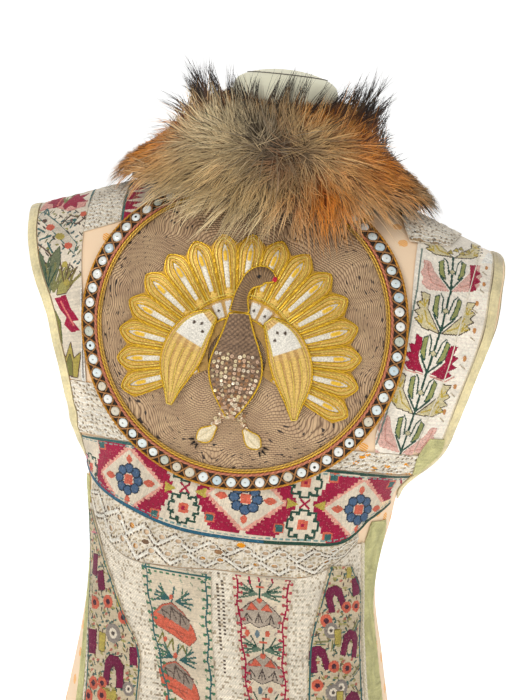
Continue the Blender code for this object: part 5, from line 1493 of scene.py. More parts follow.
def shoulder_pieces(linen, lace, inner_left):
    """Lace and linen between the fur and the yoke strips."""
    beside = np.array([q for q in resample(inner_left, 80) if q[1] > 0.572]) + (2 * SEAM_GAP, 0)
    chart = ruled(beside, ((-0.127, 0.590), (-0.130, 0.615), (-0.133, 0.675)), sizes().stitch, ground="cream",
                  seed=13)
    openwork("shoulder_lace_left", chart, lace)
    chart = ruled(((-0.126, 0.590), (-0.1292, 0.615), (-0.1322, 0.675)),
                  ((-0.100, 0.598), (-0.098, 0.620), (-0.096, 0.690)), sizes().fine, seed=14)
    chart.motif("fill crimson: -127,0 -112,4 -120,7 -111,12 -127,13", *((0, low) for low in range(588, 690, 14)))
    chart.paint(chart.left < 2.0, "teal")
    chart.build("shoulder_linen_left", linen, "linen")
    chart = ruled(((0.136, 0.606), (0.127, 0.630), (0.120, 0.682)),
                  ((0.172, 0.609), (0.178, 0.630), (0.180, 0.655)), sizes().stitch, ground="cream", layer=2, seed=15)
    chart.paint(chart.run < 3.0 + 1.6 * np.abs(np.sin(chart.left * math.pi / 7.0)), "#a88a62", 0.0006)
    # painted shade: dark ovals where the holes of the lace are in shadow
    chart.motif("oval #40352b -.6: 140,620 2.6 1.6; oval #40352b -.6: 150,611 3.4 1.6; "
                "oval #40352b -.6: 157,614 2 2.4; oval #40352b -.6: 163,622 1.6 1.6")
    openwork("shoulder_lace_right", chart, lace, (4.6, 5.6), (1.1, 1.4), 15)


def outer_pieces(plain, velvet, right_outer):
    """The plain linen beside the right armhole band, and the velvet patch under the arm."""
    levels = np.array((0.410, 0.424, 0.448, 0.477, 0.504, 0.531, 0.559, 0.597, 0.6305))
    outer = np.column_stack((band_inner_edge(levels, 1), levels))
    curve = resample(right_outer, 80)
    inner = np.column_stack((np.interp(levels, curve[:, 1], curve[:, 0]) + 3 * SEAM_GAP, levels))
    chart = ruled(inner, outer, sizes().fine, ground="#faeedc", seed=16)
    stem_of_leaves(chart)
    chart.motif("oval #c98a4e: 0,0 1.6 2.6; line #b5a384 1.2: -3,-6 1,-9", (210, 570), (210, 590), (206, 550),
                (207, 525), (201, 500), (196, 474), (190, 450))
    chart.motif("fill #f3eee2: 204,595 222,600 219,615 209,618")
    chart.build("outer_strip_right", plain, "plain_linen", ripple=0.0003)
    parts = Parts()
    for line, tint in ((curve + (1.5 * SEAM_GAP, 0), "#efe4d0"), (resample(outer, 300), "#e2d3b4")):
        line = resample(line[(line[:, 1] > 0.4245) & (line[:, 1] < 0.628)], 400)
        laid(parts, *line.T, LAYER_GAP + PATCH, 0.0008, tint, twist=0.0045, dark=0.2)
    parts.build("seam_stitches", plain, "plain_linen")
    chart = ruled(((0.1765, 0.3875), (0.1725, 0.400), (0.1750, 0.412), (0.1810, 0.424)),
                  ((0.1835, 0.3875), (0.1900, 0.398), (0.1970, 0.410), (0.1965, 0.424)), 0.0012,
                  ground="velvet", layer=2, seed=17)
    chart.build("underarm_patch", velvet, "velvet", ripple=0.0003)


def lower_yoke_lace(finish):
    """Crochet between medallion and cross-stitch band, with orange flowers of the print showing on the right."""
    for name, side, high in (("yoke_lace_left", -1, 0.4362), ("yoke_lace_right", 1, 0.4066)):
        levels = np.linspace(0.3882, high, 12)
        beside_medallion = side * np.sqrt(0.141 ** 2 - (levels - MEDALLION_T) ** 2)
        chart = ruled(np.column_stack((beside_medallion, levels)),
                      np.column_stack((band_inner_edge(levels, side), levels)), sizes().stitch, ground="cream",
                      seed=18 + side)
        if side > 0:
            chart.motif("oval orange -.3: 0,0 2.8 2.2", (120, 402), (115, 396), (145, 395), (164, 397), (125, 405),
                        (133, 391))
        openwork(name, chart, finish, (4.8, 4.4), (1.6, 0.8), 30.0 * side)


# --- Cross-stitch band, crochet and knit ---

BAND_TOP = ((-0.1490, 0.3855), (-0.100, 0.3875), (0.000, 0.3875), (0.100, 0.3875), (0.1755, 0.3855))
BAND_BOTTOM = ((-0.1690, 0.353), (-0.140, 0.340), (-0.091, 0.3250), (-0.040, 0.3140), (0.010, 0.3120),
               (0.070, 0.3140), (0.116, 0.3190), (0.140, 0.338), (0.1710, 0.353))
LACE_BOTTOM = ((-0.148, 0.3180), (-0.120, 0.2950), (-0.095, 0.2810), (-0.040, 0.2795), (0.000, 0.2830),
               (0.050, 0.2830), (0.085, 0.2860), (0.110, 0.3000), (0.130, 0.3180))


def cross_stitch_band(finish):
    """Counted cross stitch: stepped crimson blocks, each with a bare diamond and a flower of eight petals."""
    chart = ruled(BAND_BOTTOM, BAND_TOP, sizes().stitch, ground="#e0d1b9", seed=3)
    for centre, level in ((-93, 352), (20, 352), (126, 350), (-205, 352), (234, 350)):
        x, y = chart.x - centre, chart.y - level
        u, v = np.abs(x) // 3 * 3, np.abs(y) // 3 * 3
        bare, notch = u / 36 + v / 30 < 1, (np.abs(x) < 3) & (np.abs(y) > 27)
        chart.paint((u + 0.55 * v < 45) & (np.abs(y) < 33) & ~bare & ~notch, "crimson", 0.0005)
        chart.paint(bare & (np.abs(x) / 36 + np.abs(y) / 30 > 0.95), "#e3a08c", 0.0003)
        for k in range(8):
            petal = np.hypot(x - 10.5 * math.cos(math.pi / 4 * k), y - 10.5 * math.sin(math.pi / 4 * k))
            chart.paint(petal < 5.2, "#1f2d3d", 0.0003)
            chart.paint(petal < 4.0, "blue", 0.0006)
        chart.paint(np.maximum(np.abs(x), np.abs(y)) < 4.6, "coral", 0.0007)
        for along, aside, start, long, wide in ((x, y, 16, 12, 3.4), (y, x, 15, 9, 3.0)):
            bud = wide * np.sin(np.clip((np.abs(along) - start) / long, 0, 1) * math.pi) ** 0.8
            chart.paint(np.abs(aside) < bud, "coral", 0.0005)
    crossed = (-36, 335), (72, 373), (73, 333), (-36, 374), (-150, 352)
    chart.motif("line green 2 .5: 14,0 14,4 9.5,4 9.5,6 11.5,6 11.5,11.5 6,11.5 6,9.5 4,9.5 4,14 0,14",
                *((*place, turn) for place in crossed for turn in (0, 90, 180, 270)))
    diamonds = ((-124, 380), (-63, 325), (-11, 330), (52, 328), (97, 380), (97, 323), (157, 376), (-62, 380),
                (-11, 377), (50, 377))
    for places, half, hue, relief in ((crossed, 4.6, "coral", 0.0007), (crossed, 1.6, "crimson", 0.0007),
                                      (diamonds, 4.6, "coral", 0.0005), (diamonds, 3.2, "teal", 0.0006)):
        for x, y in places:
            chart.paint(np.maximum(np.abs(chart.x - x), np.abs(chart.y - y)) < half, hue, relief)
    chart.motif("fill #b9a544: -5,5 6,0 -5,-5", (-50, 352), (-21, 352, 180), (62, 352), (87, 352, 180))
    chart.motif("line crimson 2: -4,-4 4,4; line crimson 2: -4,4 4,-4", (-36, 354), (73, 353))
    chart.motif("oval #c9808c: -161,361 4 3; oval green: -155,356 3 2.4; "
                "fill #efd2ac: 152,330 152,356 176,360 176,330; oval orange: 162,347 4.4 3.8; "
                "line crimson 2: 165,382 172,376")
    for away in (chart.right, chart.left):
        chart.paint((away < 5.4) & (away > 4.2) & (chart.run % 6 < 4), "#7f9a93", 0.0003)
    for away, wide, colour, change in ((chart.right, 3.0, "teal", 90), (chart.left, 3.2, "#2a6076", 40)):
        chart.paint(away < wide, colour, 0.0006)
        chart.paint((away < wide) & (chart.x > change), "green", 0.0006)
    chart.build("cross_stitch_band", finish, "linen")


def crochet_band(finish, yarn):
    """The openwork band: two rows of eyelets with a crocheted ring round each, slanted small gaps painted dark as
    shade, and zigzag ribs with painted shade beside them.
    """
    long, wide = 36, 5
    top = [(s, t - 2 * SEAM_GAP) for s, t in resample(BAND_BOTTOM, 60)
           if LACE_BOTTOM[0][0] < s < LACE_BOTTOM[-1][0]]
    chart = ruled(top, LACE_BOTTOM, 0.0008, ground="cream", seed=5)
    rows, columns = chart.x.shape
    u = (np.arange(rows)[:, None] + 0.5) / rows * long
    v = (np.arange(columns)[None, :] + 0.5) / columns * wide
    i, j = u.astype(int), v.astype(int)
    hole = (j % 2 == 1) & (i % 2 == (j // 2) % 2) & (i > 3) & (i < long - 3)
    reach = ((u - i - 0.5) / 0.42) ** 2 + ((v - j - 0.5) / 0.36) ** 2
    # painted shade in the small slanted gaps
    chart.paint(chart.marks((5.2, 4.4), (2.2, 1.1), 0.2, 0.9, 0.9, 24.0), "#c9b697", -0.0003)
    chart.paint(chart.marks((4.4, 4.0), (1.0, 0.6), 0.3, 0.7, 0.6, 32.0) & (reach > 1.3), "#8f7b63", -0.0006)
    for shift in (0.0, 2.1):
        # painted shade: dark dashes beside each raised zigzag rib; the rib itself is painted whiter, partly as a
        # painted highlight
        off = np.abs(v - 0.9 - shift - 1.7 * np.abs((u / 4 + shift / 4) % 1 * 2 - 1)) * 7
        chart.paint((off < 3.6) & (off > 1.8) & (u * 2.5 % 1 < 0.6), "#665442", -0.0009)
        chart.paint(off < 1.6, "#f6eddd", 0.0010)
    chart.motif("oval #8a6a4c -.5: -85,310 4 2.2; oval #7a5e46 -.5: -70,297 4 2.2; oval #a77c54 -.5: 0,299 4 2.2; "
                "oval orange -.5: 20,308 4 2.2")
    chart.build("crochet_band", finish, "crochet", 0.0005, keep=~(hole & (reach < 1)))
    parts = Parts()
    for a in range(4, long - 3):
        b = 1 if a % 2 == 0 else 3
        row = (a + 0.5 + 0.45 * np.cos(full_turn(20))) / long * (rows - 1)
        column = (b + 0.5 + 0.40 * np.sin(full_turn(20))) / wide * (columns - 1)
        r, c = row.astype(int), column.astype(int)
        s, t = (g[r, c] + (row - r) * (g[r + 1, c] - g[r, c]) + (column - c) * (g[r, c + 1] - g[r, c])
                for g in (chart.s, chart.t))
        laid(parts, s, t, chart.base + PATCH + 0.0003, 0.00075, "#e8dfce", closed=True, dark=0.25)
    parts.build("crochet_rings", yarn, "crochet")


def strip_edges(table):
    rows = np.array(table)
    return rows[:, (1, 0)], rows[:, (2, 0)]


def knit_ground(finish):
    """Cream knit from the crochet band to the hem: ribs, a drawn-thread slit and small slanted gaps, the slit and the
    gaps painted dark as shade.

    Its sides follow the strips beside it and its top the crochet band: s and t solve each other in a few rounds.
    """
    left, right = resample(strip_edges(VELVET_LEFT)[1], 60)[::-1], resample(strip_edges(CORD_RIGHT)[0], 60)[::-1]
    top = resample(LACE_BOTTOM, 60)
    even = np.linspace(-1, 1, 176)
    across, down = np.meshgrid(0.5 + 0.375 * np.sin(even * math.pi / 2) + 0.125 * even, np.linspace(0, 1, 130))
    s = across * 0.28 - 0.14
    for _ in range(6):
        start = np.interp(s[0], *top.T) - 4 * SEAM_GAP
        t = start + (HEM_Z - start) * down
        low_s = np.interp(t, left[:, 1], left[:, 0]) + 2 * SEAM_GAP
        high_s = np.interp(t, right[:, 1], right[:, 0]) - 2 * SEAM_GAP
        s = low_s + (high_s - low_s) * across
    chart = Chart(s, t, "cream", seed=6)
    # painted shade in the small slanted gaps
    chart.paint(chart.marks((3.6, 4.2), (0.9, 1.2), 0.0, 0.4, 0.6, 25.0), "#b9a88e", -0.0003)
    slit = np.interp(chart.y, (62, 165, 200, 250, 275), (16, 12, 8, 5, 3))
    # painted shade: the open rungs of the drawn-thread slit are painted dark
    for shift in (-1.8, 2.4):
        chart.paint((np.abs(chart.x - slit - shift) < 0.8) & (chart.y % 3.4 < 1.6), "#5b4d40", -0.0006)
    for edges, lean, colour in (((-70, -66, -61), 38, "#8a7a66"), ((72, 79, 86), 8, "#c9bda6")):
        for edge in edges:
            line = chart.x - edge - np.interp(chart.y, (62, 280), (lean, 0))
            chart.paint((np.abs(line) < 1.2) & (chart.y % 5 < 2.2), colour, -0.0003)
    chart.build("knit_ground", finish, "knit", ripple=0.0005, streaks=0.14)


# --- Lower strips: t, then s of the left and of the right edge ---

SIDE_LEFT = ((0.312, -0.1500, -0.1420), (0.285, -0.1495, -0.1225), (0.255, -0.1447, -0.1047),
             (0.225, -0.1393, -0.0873), (0.200, -0.1345, -0.0725), (0.150, -0.1309, -0.0689),
             (HEM_Z, -0.1340, -0.0660))
INNER_LEFT = ((0.2775, -0.0717, -0.0047), (0.216, -0.0597, -0.0017), (0.155, -0.0419, 0.0051),
              (HEM_Z, -0.0300, 0.0100))
INNER_RIGHT = ((0.2810, 0.0144, 0.0699), (0.219, 0.0224, 0.0655), (0.166, 0.0302, 0.0712), (HEM_Z, 0.0380, 0.0800))
SIDE_RIGHT = ((0.2960, 0.1029, 0.1259), (0.268, 0.0969, 0.1429), (0.220, 0.0865, 0.1420), (0.184, 0.0864, 0.1434),
              (HEM_Z, 0.0960, 0.1560))
CORD_RIGHT = ((0.318, 0.1345, 0.1375), (0.290, 0.1402, 0.1432), (0.262, 0.1461, 0.1491), (0.235, 0.1457, 0.1487),
              (0.200, 0.1460, 0.1490), (0.150, 0.1521, 0.1551), (HEM_Z, 0.1620, 0.1650))
VELVET_RIGHT = ((0.3370, 0.1460, 0.1700), (0.318, 0.1400, 0.1760), (0.290, 0.1447, 0.1757), (0.262, 0.1506, 0.1726),
                (0.235, 0.1502, 0.1732), (0.200, 0.1505, 0.1765), (0.150, 0.1571, 0.1871), (HEM_Z, 0.1670, 0.2000))
VELVET_LEFT = ((0.3420, -0.1735, -0.1555), (0.318, -0.1700, -0.1540), (0.285, -0.1635, -0.1545),
               (0.255, -0.1598, -0.1507), (0.225, -0.1552, -0.1452), (0.200, -0.1515, -0.1405),
               (0.150, -0.1479, -0.1369), (HEM_Z, -0.1510, -0.1400))
KINDS = {
    "ring": "oval coral .5: 0,0 6 6; oval #4a2430 .3: 0,0 2.6 2.6",
    "taupe": "oval #8d8278 .5: 0,0 8 8; oval linen 0: 0,0 4.2 4.2; oval #5c5148 .5: 0,0 1.8 1.8",
    "arch": "ringed plum #4d0f2c 1: -10,-12 -9,6 -4,12 4,12 9,6 10,-12 4,-13 3,0 0,4 -3,0 -4,-13",
    "bar": "ringed plum #4d0f2c 1: -4.5,-10 -5.5,9 4.5,11 5,-9",
    "yellow": "ringed yellow #7b6a34 1: -2.2,-5 -2.6,5 2.4,5 2.2,-5",
    "pink": "line #cf7a86 1.8: -6,-1 6,1",
    "olive": "line #7d7a4c 2: -5,-2 5,2; line teal 1.2: -4,-4 4,-1",
    "flag": "fill crimson: -8,11 2,9 9,0 6,-10 -1,-6 -3,2 -9,4; line #d7746a 1.6: -5,8 2,4 4,-5",
}
# kind, x, y, size, turn
SIDE_LEFT_MOTIFS = """yellow -134 306 .9 0; ring -123 298 .85 0; pink -135 292 1 0; taupe -115 282 .9 0; yellow -107
288 .9 20; yellow -104 270 1 0; bar -130 262 1 0; bar -118 250 .9 10; flag -88 250 1 0; ring -108 233 1 0; ring -125
228 1 0; ring -89 223 1 0; yellow -95 236 .9 0; yellow -83 230 .9 30; taupe -100 206 1.1 0; bar -126 192 1.1 0;
yellow -113 195 1.6 0; arch -97 173 1.1 0; ring -120 156 1 0; ring -109 159 .9 0; yellow -100 150 1.6 80; ring -97
141 1 0; taupe -80 160 .8 0; bar -77 190 .8 0"""
SIDE_RIGHT_MOTIFS = """yellow 123 290 1 0; bar 133 276 .9 8; arch 110 266 .95 20; ring 123 257 .9 0; ring 135 257 .9
0; ring 102 245 1 0; taupe 107 236 .9 0; yellow 114 230 1.3 0; arch 128 224 .95 -12; arch 95 211 .9 15; ring 110 204
.9 0; ring 124 202 .9 0; ring 95 187 .9 0; taupe 118 185 .9 0; olive 134 240 1 30; olive 98 226 1 -20; olive 136 200
1 20; olive 108 222 .8 60"""


def side_strip(name, table, motifs, pitch, shift, seed, finish):
    """A side strip: rings, arches and bars scattered among dashes, the same again lower down."""
    chart = ruled(*strip_edges(table), sizes().fine, ground="#cfbd9d", layer=2, seed=seed)
    scattered(chart, 0.85, (
        ((9, 7.0), (3.0, 0.8), 0.4, "#47685f", 24), ((11, 8.5), (2.6, 0.8), -0.3, "#857443", -40),
        ((10, 9.5), (2.4, 0.7), 0.2, "#5a4a40", 70), ((12, 9.0), (2.8, 1.0), 0.6, "#a39a5c", 5),
        ((14, 12), (1.6, 1.6), -0.5, "#b46a58", 0), ((13, 10), (2.8, 0.8), 0.1, "#39584f", -65)))
    for again in range(4):
        for row in motifs.split(";"):
            kind, x, y, size, turn = (word if word[0] > "9" else float(word) for word in row.split())
            if again == 0 or y < 240:
                chart.motif(KINDS[kind], (x + shift * again, y - pitch * again, turn, size))
    for away in (chart.left, chart.right):
        chart.paint((away > 1.2) & (away < 2.6), "teal", 0.0005)
    chart.build(name, finish, "linen")


def vine(chart, away, wide, colour, leaf, step=8.0):
    """A stem at some distance from an edge, with small leaves on its two sides by turns."""
    off = away - wide - 0.9 * np.sin(chart.run / 5.5)
    chart.paint(np.abs(off) < 0.75, colour, 0.0005)
    for side, start in ((-1, 0.0), (1, step / 2)):
        place = (chart.run + start) % step - step / 2
        chart.paint((np.abs(place) < 0.8) & (np.abs(off - side * 1.6) < 1.2), colour, 0.0004)
        chart.paint(np.hypot(place, off - side * 3.2) < 1.5, leaf, 0.0005)


BELL_LEFT = """ringed coral #7c4a3e 1.2: 0,-1 -9,-5 -19,-17 -13,-24 3,-29 20,-36 26,-29 22,-20 12,-8; fill #978676:
0,-2 -8,-6 -13,-13 2,-17 18,-23 19,-16 11,-8; spray #5a4a42 1.1: -9,-9 8 -20 -60; spray #5a4a42 1.1: 0,-5 12 -30 -60
-90; spray #5a4a42 1.1: 9,-9 10 -25 -55 -85; spray #a8523f 1.2: 6,-25 9 -10 -40 170; spray teal 1.7: -3,2 14 140 160
178 196; spray teal 1.7: 4,1 15 42 22 2 -16; spray #4c6e58 1.3: -8,6 9 120 190 225; spray #4c6e58 1.3: 9,5 9 60 -30
90; line teal 1.6: 0,0 1,14; oval coral: -1,4 2 2.6; spray #7d7840 1.6: -6,-30 10 250 290; spray #7d7840 1.6: 4,-33
10 245 280; spray #7d7840 1.6: 14,-37 8 240 300; oval coral: -3,-35 1.8 2.4"""
BELL_RIGHT = """ringed #b0a08e #4a3d38 1.5: 0,0 -11,-8 -20,-18 -18,-27 -8,-23 0,-27 9,-23 18,-26 20,-17 11,-8; ringed
coral #7c4a3e .9: -7,-5 -1,-11 -11,-12; ringed coral #7c4a3e .9: 7,-5 2,-11 12,-12; oval coral: 0,-2 2.4 2.8; spray
#4a3d38 1: -11,-15 8 250 280 310; spray #4a3d38 1: 0,-14 9 250 270 290; spray #4a3d38 1: 11,-15 8 230 260 290; spray
#5c7460 1.7: -2,3 17 150 165 180 196; spray #5c7460 1.7: 2,3 17 30 15 0 -16; spray green 1.2: -6,6 10 120 170 210;
spray green 1.2: 6,6 10 60 10 -30; line green 1.6: 0,0 0,14; oval coral: -10,-33 2.2 3; oval coral: 8,-32 2.2 3; oval
#62757c: -1,-33 2 3.6; line coral 1.6: -3,10 3,10"""


def inner_strips(finish):
    """The two inner strips: a vine down each edge and bell flowers between them, 50 mm apart."""
    for name, table, seed, way, dots, bell, first, step, turn, stem, leaf, wide in (
            ("strip_inner_left", INNER_LEFT, 23, 1, "#9fa68c", BELL_LEFT, (-40, 247), (5.5, -52), -4, "teal",
             "#4c7a58", 4.0),
            ("strip_inner_right", INNER_RIGHT, 24, -1, "#b29a8c", BELL_RIGHT, (40, 262), (4.5, -50), 0, "crimson",
             "#b0484a", 3.6)):
        chart = ruled(*strip_edges(table), sizes().fine, ground="#dccbb0", layer=2, seed=seed)
        chart.paint(chart.marks((8, 9), (0.8, 1.8), 0.2 * way, 0.9, 0.5, 30.0 * way), dots, 0.0003)
        chart.motif(bell, *((first[0] + step[0] * k, first[1] + step[1] * k, turn) for k in range(4)))
        vine(chart, chart.left, wide, stem, leaf)
        vine(chart, chart.right, wide, stem, leaf)
        if way > 0:
            chart.paint((chart.run > 1.5) & (chart.run < 4.0), "teal", 0.0005)
            chart.paint((chart.run > 4.6) & (chart.run < 6.4) & (chart.left % 6 < 3), "#4c7a58", 0.0005)
        else:
            chart.motif("line crimson 1.8: -1,3 1,-4", (38, 281), (50, 281), (30, 279))
        chart.build(name, finish, "linen")


def velvet_strips(velvet, cord_finish):
    """Velvet down both sides, and the corded seam beside the right one."""
    for name, table in (("velvet_left", VELVET_LEFT), ("velvet_right", VELVET_RIGHT)):
        chart = ruled(*strip_edges(table), 0.0014, ground="velvet", seed=len(name))
        chart.build(name, velvet, "velvet", ripple=0.0005, streaks=0.08)
    a, b = strip_edges(CORD_RIGHT)
    chart = ruled(a, b, 0.0006, ground="#e6dabf", seed=27)
    chart.relief = 0.0009 * np.sin(math.pi * np.clip(chart.left / 3.0, 0, 1))
    chart.build("seam_cord_right", cord_finish, "cord")
    parts = Parts()
    laid(parts, *resample((a + b) / 2, 420).T, LAYER_GAP + PATCH + 0.0011, 0.0012, "#e9dec4", twist=0.0042, dark=0.3)
    parts.build("seam_cord", cord_finish, "cord")
# --- Stage ---

def sweep():
    """A pale floor that bends up behind the object in a quarter ellipse."""
    bend = np.linspace(0.1, math.pi / 2, 14)
    y = np.concatenate((np.linspace(-7, 4.6, 3), 4.6 + 1.6 * np.sin(bend), [6.2]))
    z = np.concatenate((np.zeros(3), 1.6 - 1.6 * np.cos(bend), [9.0]))
    points = joined(np.linspace(-9, 9, 3), y[:, None], z[:, None])
    mesh = bpy.data.meshes.new("sweep")
    mesh.from_pydata(points.reshape(-1, 3).tolist(), [], grid_quads(len(y), 3).tolist())
    mesh.shade_smooth()
    made, add = finish_of("pale paper sweep", Roughness=0.9, Specular_IOR_Level=0.1,
                          Emission_Color=(1.0, 1.0, 1.0, 1.0), Emission_Strength=0.50)
    grain = add("TexNoise", Vector=add("TexCoord", out="Object"), Scale=3.0, Detail=2.0)
    mesh.materials.append(finished(made, add("Mix", grain, in_6=(0.93, 0.93, 0.92, 1),
                                             in_7=(0.96, 0.96, 0.955, 1), **MIX)))
    floor = bpy.data.objects.new("sweep", mesh)
    bpy.context.scene.collection.objects.link(floor)


def lamps():
    """Soft round lamps: one on the left, a weaker one on the right and one behind, in an even white room."""
    scene = bpy.context.scene
    for name, place, size, power in (("key", (-1.3, -2.2, 2.0), 1.4, 30.0), ("fill", (1.9, -1.8, 1.2), 1.8, 9.0),
                                     ("back", (0.4, 1.3, 2.2), 1.4, 9.0)):
        light = bpy.data.lights.new(name, "AREA")
        light.shape, light.size, light.energy = "DISK", size, power
        lamp = bpy.data.objects.new(name, light)
        lamp.location = place
        lamp.rotation_euler = (Vector((0, 0, 0.42)) - Vector(place)).to_track_quat("-Z", "Y").to_euler()
        scene.collection.objects.link(lamp)
    world = bpy.data.worlds.new("studio")
    world.use_nodes = True
    world.node_tree.nodes["Background"].inputs[0].default_value = (1.0, 1.0, 1.0, 1.0)
    world.node_tree.nodes["Background"].inputs[1].default_value = 0.42
    scene.world = world


def view():
    """The photograph's camera: a little to the right of the centre back, a little above, and rolled."""
    scene = bpy.context.scene
    azimuth, elevation, roll, distance = math.radians(7.893), math.radians(5.664), math.radians(6.471), 1.8386
    back = Vector((math.sin(azimuth) * math.cos(elevation), -math.cos(azimuth) * math.cos(elevation),
                   math.sin(elevation)))
    aim = Vector((0.00573, 0.0, 0.47624))
    lens = bpy.data.cameras.new("camera")
    lens.sensor_width, lens.lens, lens.clip_start, lens.clip_end = 36.0, 100.05, 0.1, 30.0
    camera = bpy.data.objects.new("camera", lens)
    turn = (-back).to_track_quat("-Z", "Y").to_matrix().to_4x4()
    camera.matrix_world = Matrix.Translation(aim + back * distance) @ turn @ Matrix.Rotation(roll, 4, "Z")
    scene.collection.objects.link(camera)
    scene.camera = camera
    scene.view_settings.view_transform = "Standard"


# --- Operators and panel ---

def shared(name, maker, *given, **more):
    """A finish that several pieces have: made once, found again by its name."""
    return bpy.data.materials.get(name) or maker(*((name, *given) if given or more else ()), **more)


def linen_finish():
    return shared("embroidered linen", woven, sizes().thread)


def crochet_finish():
    return shared("cotton crochet", woven, 0.0016, slant=0.7, bump=0.8, roughness=0.9, dirt=0.18)


def velvet_finish():
    return bpy.data.materials.get("chartreuse velvet") or pile("chartreuse velvet")


def gold_finish():
    return shared("gold cord", spun, roughness=0.35, metallic=0.6)


def satin_finish():
    return shared("gold satin thread", spun, roughness=0.45, metallic=0.3)


def cord_finish():
    return shared("cotton cord", spun, roughness=0.8, sheen=0.1)


class MakeFoundation(bpy.types.Operator):
    """Build the back and the two fronts of printed cotton"""

    bl_idname, bl_label = "waistcoat.foundation", "Printed cotton"

    def execute(self, context):
        cotton = printed_cotton()
        foundation("back_panel", BACK, -1.0, 1.0, BACK_NECK_DROP, cotton)
        foundation("front_left", FRONT, -1.0, 0.0, FRONT_NECK_DROP, cotton)
        foundation("front_right", FRONT, 0.0, 1.0, FRONT_NECK_DROP, cotton)
        return {"FINISHED"}


class MakeForm(bpy.types.Operator):
    """Build the smooth dress form and the seam of its neck cap"""

    bl_idname, bl_label = "waistcoat.form", "Dress form"

    def execute(self, context):
        dress_form(jersey())
        cap_seam(cord_finish())
        return {"FINISHED"}


class MakeBands(bpy.types.Operator):
    """Build the sateen bands of the armholes"""

    bl_idname, bl_label = "waistcoat.bands", "Armhole bands"

    def execute(self, context):
        sateen = woven("cotton sateen", 0.0007, bump=0.3, roughness=0.55, dirt=0.22, sheen=0.3)
        armhole_band("armhole_band_left", -1, sateen)
        armhole_band("armhole_band_right", 1, sateen)
        return {"FINISHED"}


class MakeYoke(bpy.types.Operator):
    """Build the embroidered, plain and lace pieces between medallion and armholes"""

    bl_idname, bl_label = "waistcoat.yoke", "Yoke pieces"

    def execute(self, context):
        linen, lace = linen_finish(), crochet_finish()
        right_outer = yoke_strip_right(linen)
        left_inner = yoke_strip_left(linen)
        shoulder_pieces(linen, lace, left_inner)
        outer_pieces(woven("plain linen", 0.0009, bump=0.4), velvet_finish(), right_outer)
        lower_yoke_lace(lace)
        return {"FINISHED"}


class MakeCrossStitch(bpy.types.Operator):
    """Build the cross-stitch band under the medallion"""

    bl_idname, bl_label = "waistcoat.cross_stitch", "Cross-stitch band"

    def execute(self, context):
        cross_stitch_band(linen_finish())
        return {"FINISHED"}


class MakeCrochet(bpy.types.Operator):
    """Build the openwork band and its crocheted rings"""

    bl_idname, bl_label = "waistcoat.crochet", "Crochet band"

    def execute(self, context):
        crochet_band(crochet_finish(), cord_finish())
        return {"FINISHED"}


class MakeKnit(bpy.types.Operator):
    """Build the knit from the crochet band to the hem"""

    bl_idname, bl_label = "waistcoat.knit", "Knit ground"

    def execute(self, context):
        knit_ground(woven("cotton knit", 0.0024, slant=0.9, bump=0.9, roughness=0.9, dirt=0.14, shadow=0.3))
        return {"FINISHED"}


class MakeStrips(bpy.types.Operator):
    """Build the four embroidered strips down the skirt"""

    bl_idname, bl_label = "waistcoat.strips", "Lower strips"

    def execute(self, context):
        linen = linen_finish()
        side_strip("strip_side_left", SIDE_LEFT, SIDE_LEFT_MOTIFS, 85, 0, 21, linen)
        side_strip("strip_side_right", SIDE_RIGHT, SIDE_RIGHT_MOTIFS, 55, 3, 22, linen)
        inner_strips(linen)
        return {"FINISHED"}


class MakeVelvet(bpy.types.Operator):
    """Build the velvet side strips and the corded seam"""

    bl_idname, bl_label = "waistcoat.velvet", "Velvet strips"

    def execute(self, context):
        velvet_strips(velvet_finish(), cord_finish())
        return {"FINISHED"}


class MakeMedallion(bpy.types.Operator):
    """Build the couched disc, its ring of sequins and its cords"""

    bl_idname, bl_label = "waistcoat.medallion", "Medallion"

    def execute(self, context):
        medallion_disc(couched_ground())
        ring_bed(spun("brown braid", roughness=0.8))
        sequin_ring(opal(), cord_finish())
        medallion_cords(gold_finish(), spun("copper cord", roughness=0.4, metallic=0.5))
        return {"FINISHED"}


class MakeBird(bpy.types.Operator):
    """Build the bird: fanned tail, wings, body, neck, feet and its sequins"""

    bl_idname, bl_label = "waistcoat.bird", "Bird"

    def execute(self, context):
        thread, gold = satin_finish(), gold_finish()
        tail_fan(thread)
        feather_cords(gold)
        cords = Parts()
        for name, spine, widths, lift, height in BIRD:
            bird_form(name, spine, widths, lift, height, thread, cords)
        feet(thread, cords)
        cords.build("bird_cords", gold, "gold_thread")
        bird_sequins(spun("copper sequins", roughness=0.3, metallic=0.5))
        return {"FINISHED"}


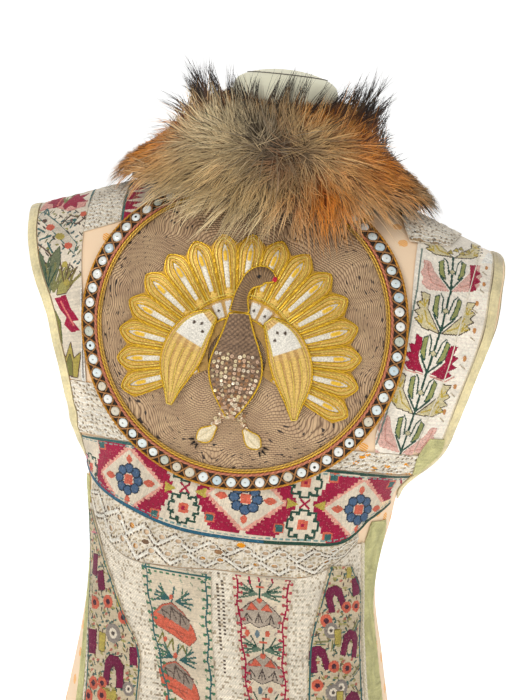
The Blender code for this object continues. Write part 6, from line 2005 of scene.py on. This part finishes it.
class MakeFur(bpy.types.Operator):
    """Build the fur collar: its body, underfur, long hair and guard hairs"""

    bl_idname, bl_label = "waistcoat.fur", "Fur collar"

    def execute(self, context):
        fur = hair("fox hair")
        fur_core(fur)
        coat("fur_under", fur, 5, 0.62, 0.10, 0.16, thick=1.1, out=0.94)
        coat("fur_over", fur, 6, 0.95, 0.50, 0.12)
        coat("fur_guard", fur, 7, 1.35, 1.0, 0.10, share=0.2, low=0.4, thick=0.9, droop=0.2, tuft=2.2, up=1.3)
        return {"FINISHED"}


class MakeStage(bpy.types.Operator):
    """Build the floor, the lamps and the camera"""

    bl_idname, bl_label = "waistcoat.stage", "Stage"

    def execute(self, context):
        sweep()
        lamps()
        view()
        return {"FINISHED"}


OPERATORS = (MakeFoundation, MakeForm, MakeBands, MakeYoke, MakeCrossStitch, MakeCrochet, MakeKnit, MakeStrips,
             MakeVelvet, MakeMedallion, MakeBird, MakeFur, MakeStage)


class WaistcoatPanel(bpy.types.Panel):
    """Sidebar panel with the sizes, the colours and a button for each group of pieces"""

    bl_idname, bl_label = "VIEW3D_PT_waistcoat", "Embroidered waistcoat"
    bl_space_type, bl_region_type, bl_category = "VIEW_3D", "UI", "Waistcoat"

    def draw(self, context):
        for group in (context.scene.waistcoat_sizes, context.scene.waistcoat_colours):
            box = self.layout.box()
            for name in group.__annotations__:
                box.prop(group, name)
        for operator in OPERATORS:
            self.layout.operator(operator.bl_idname)


def register():
    for made in (WaistcoatColours, WaistcoatSizes, *OPERATORS, WaistcoatPanel):
        bpy.utils.register_class(made)
    bpy.types.Scene.waistcoat_colours = bpy.props.PointerProperty(type=WaistcoatColours)
    bpy.types.Scene.waistcoat_sizes = bpy.props.PointerProperty(type=WaistcoatSizes)


def unregister():
    del bpy.types.Scene.waistcoat_colours, bpy.types.Scene.waistcoat_sizes
    for made in (WaistcoatPanel, *reversed(OPERATORS), WaistcoatSizes, WaistcoatColours):
        bpy.utils.unregister_class(made)


def main():
    register()
    for step in ("foundation", "form", "bands", "yoke", "cross_stitch", "crochet", "knit", "strips", "velvet",
                 "medallion", "bird", "fur", "stage"):
        getattr(bpy.ops.waistcoat, step)()


if __name__ == "__main__":
    main()
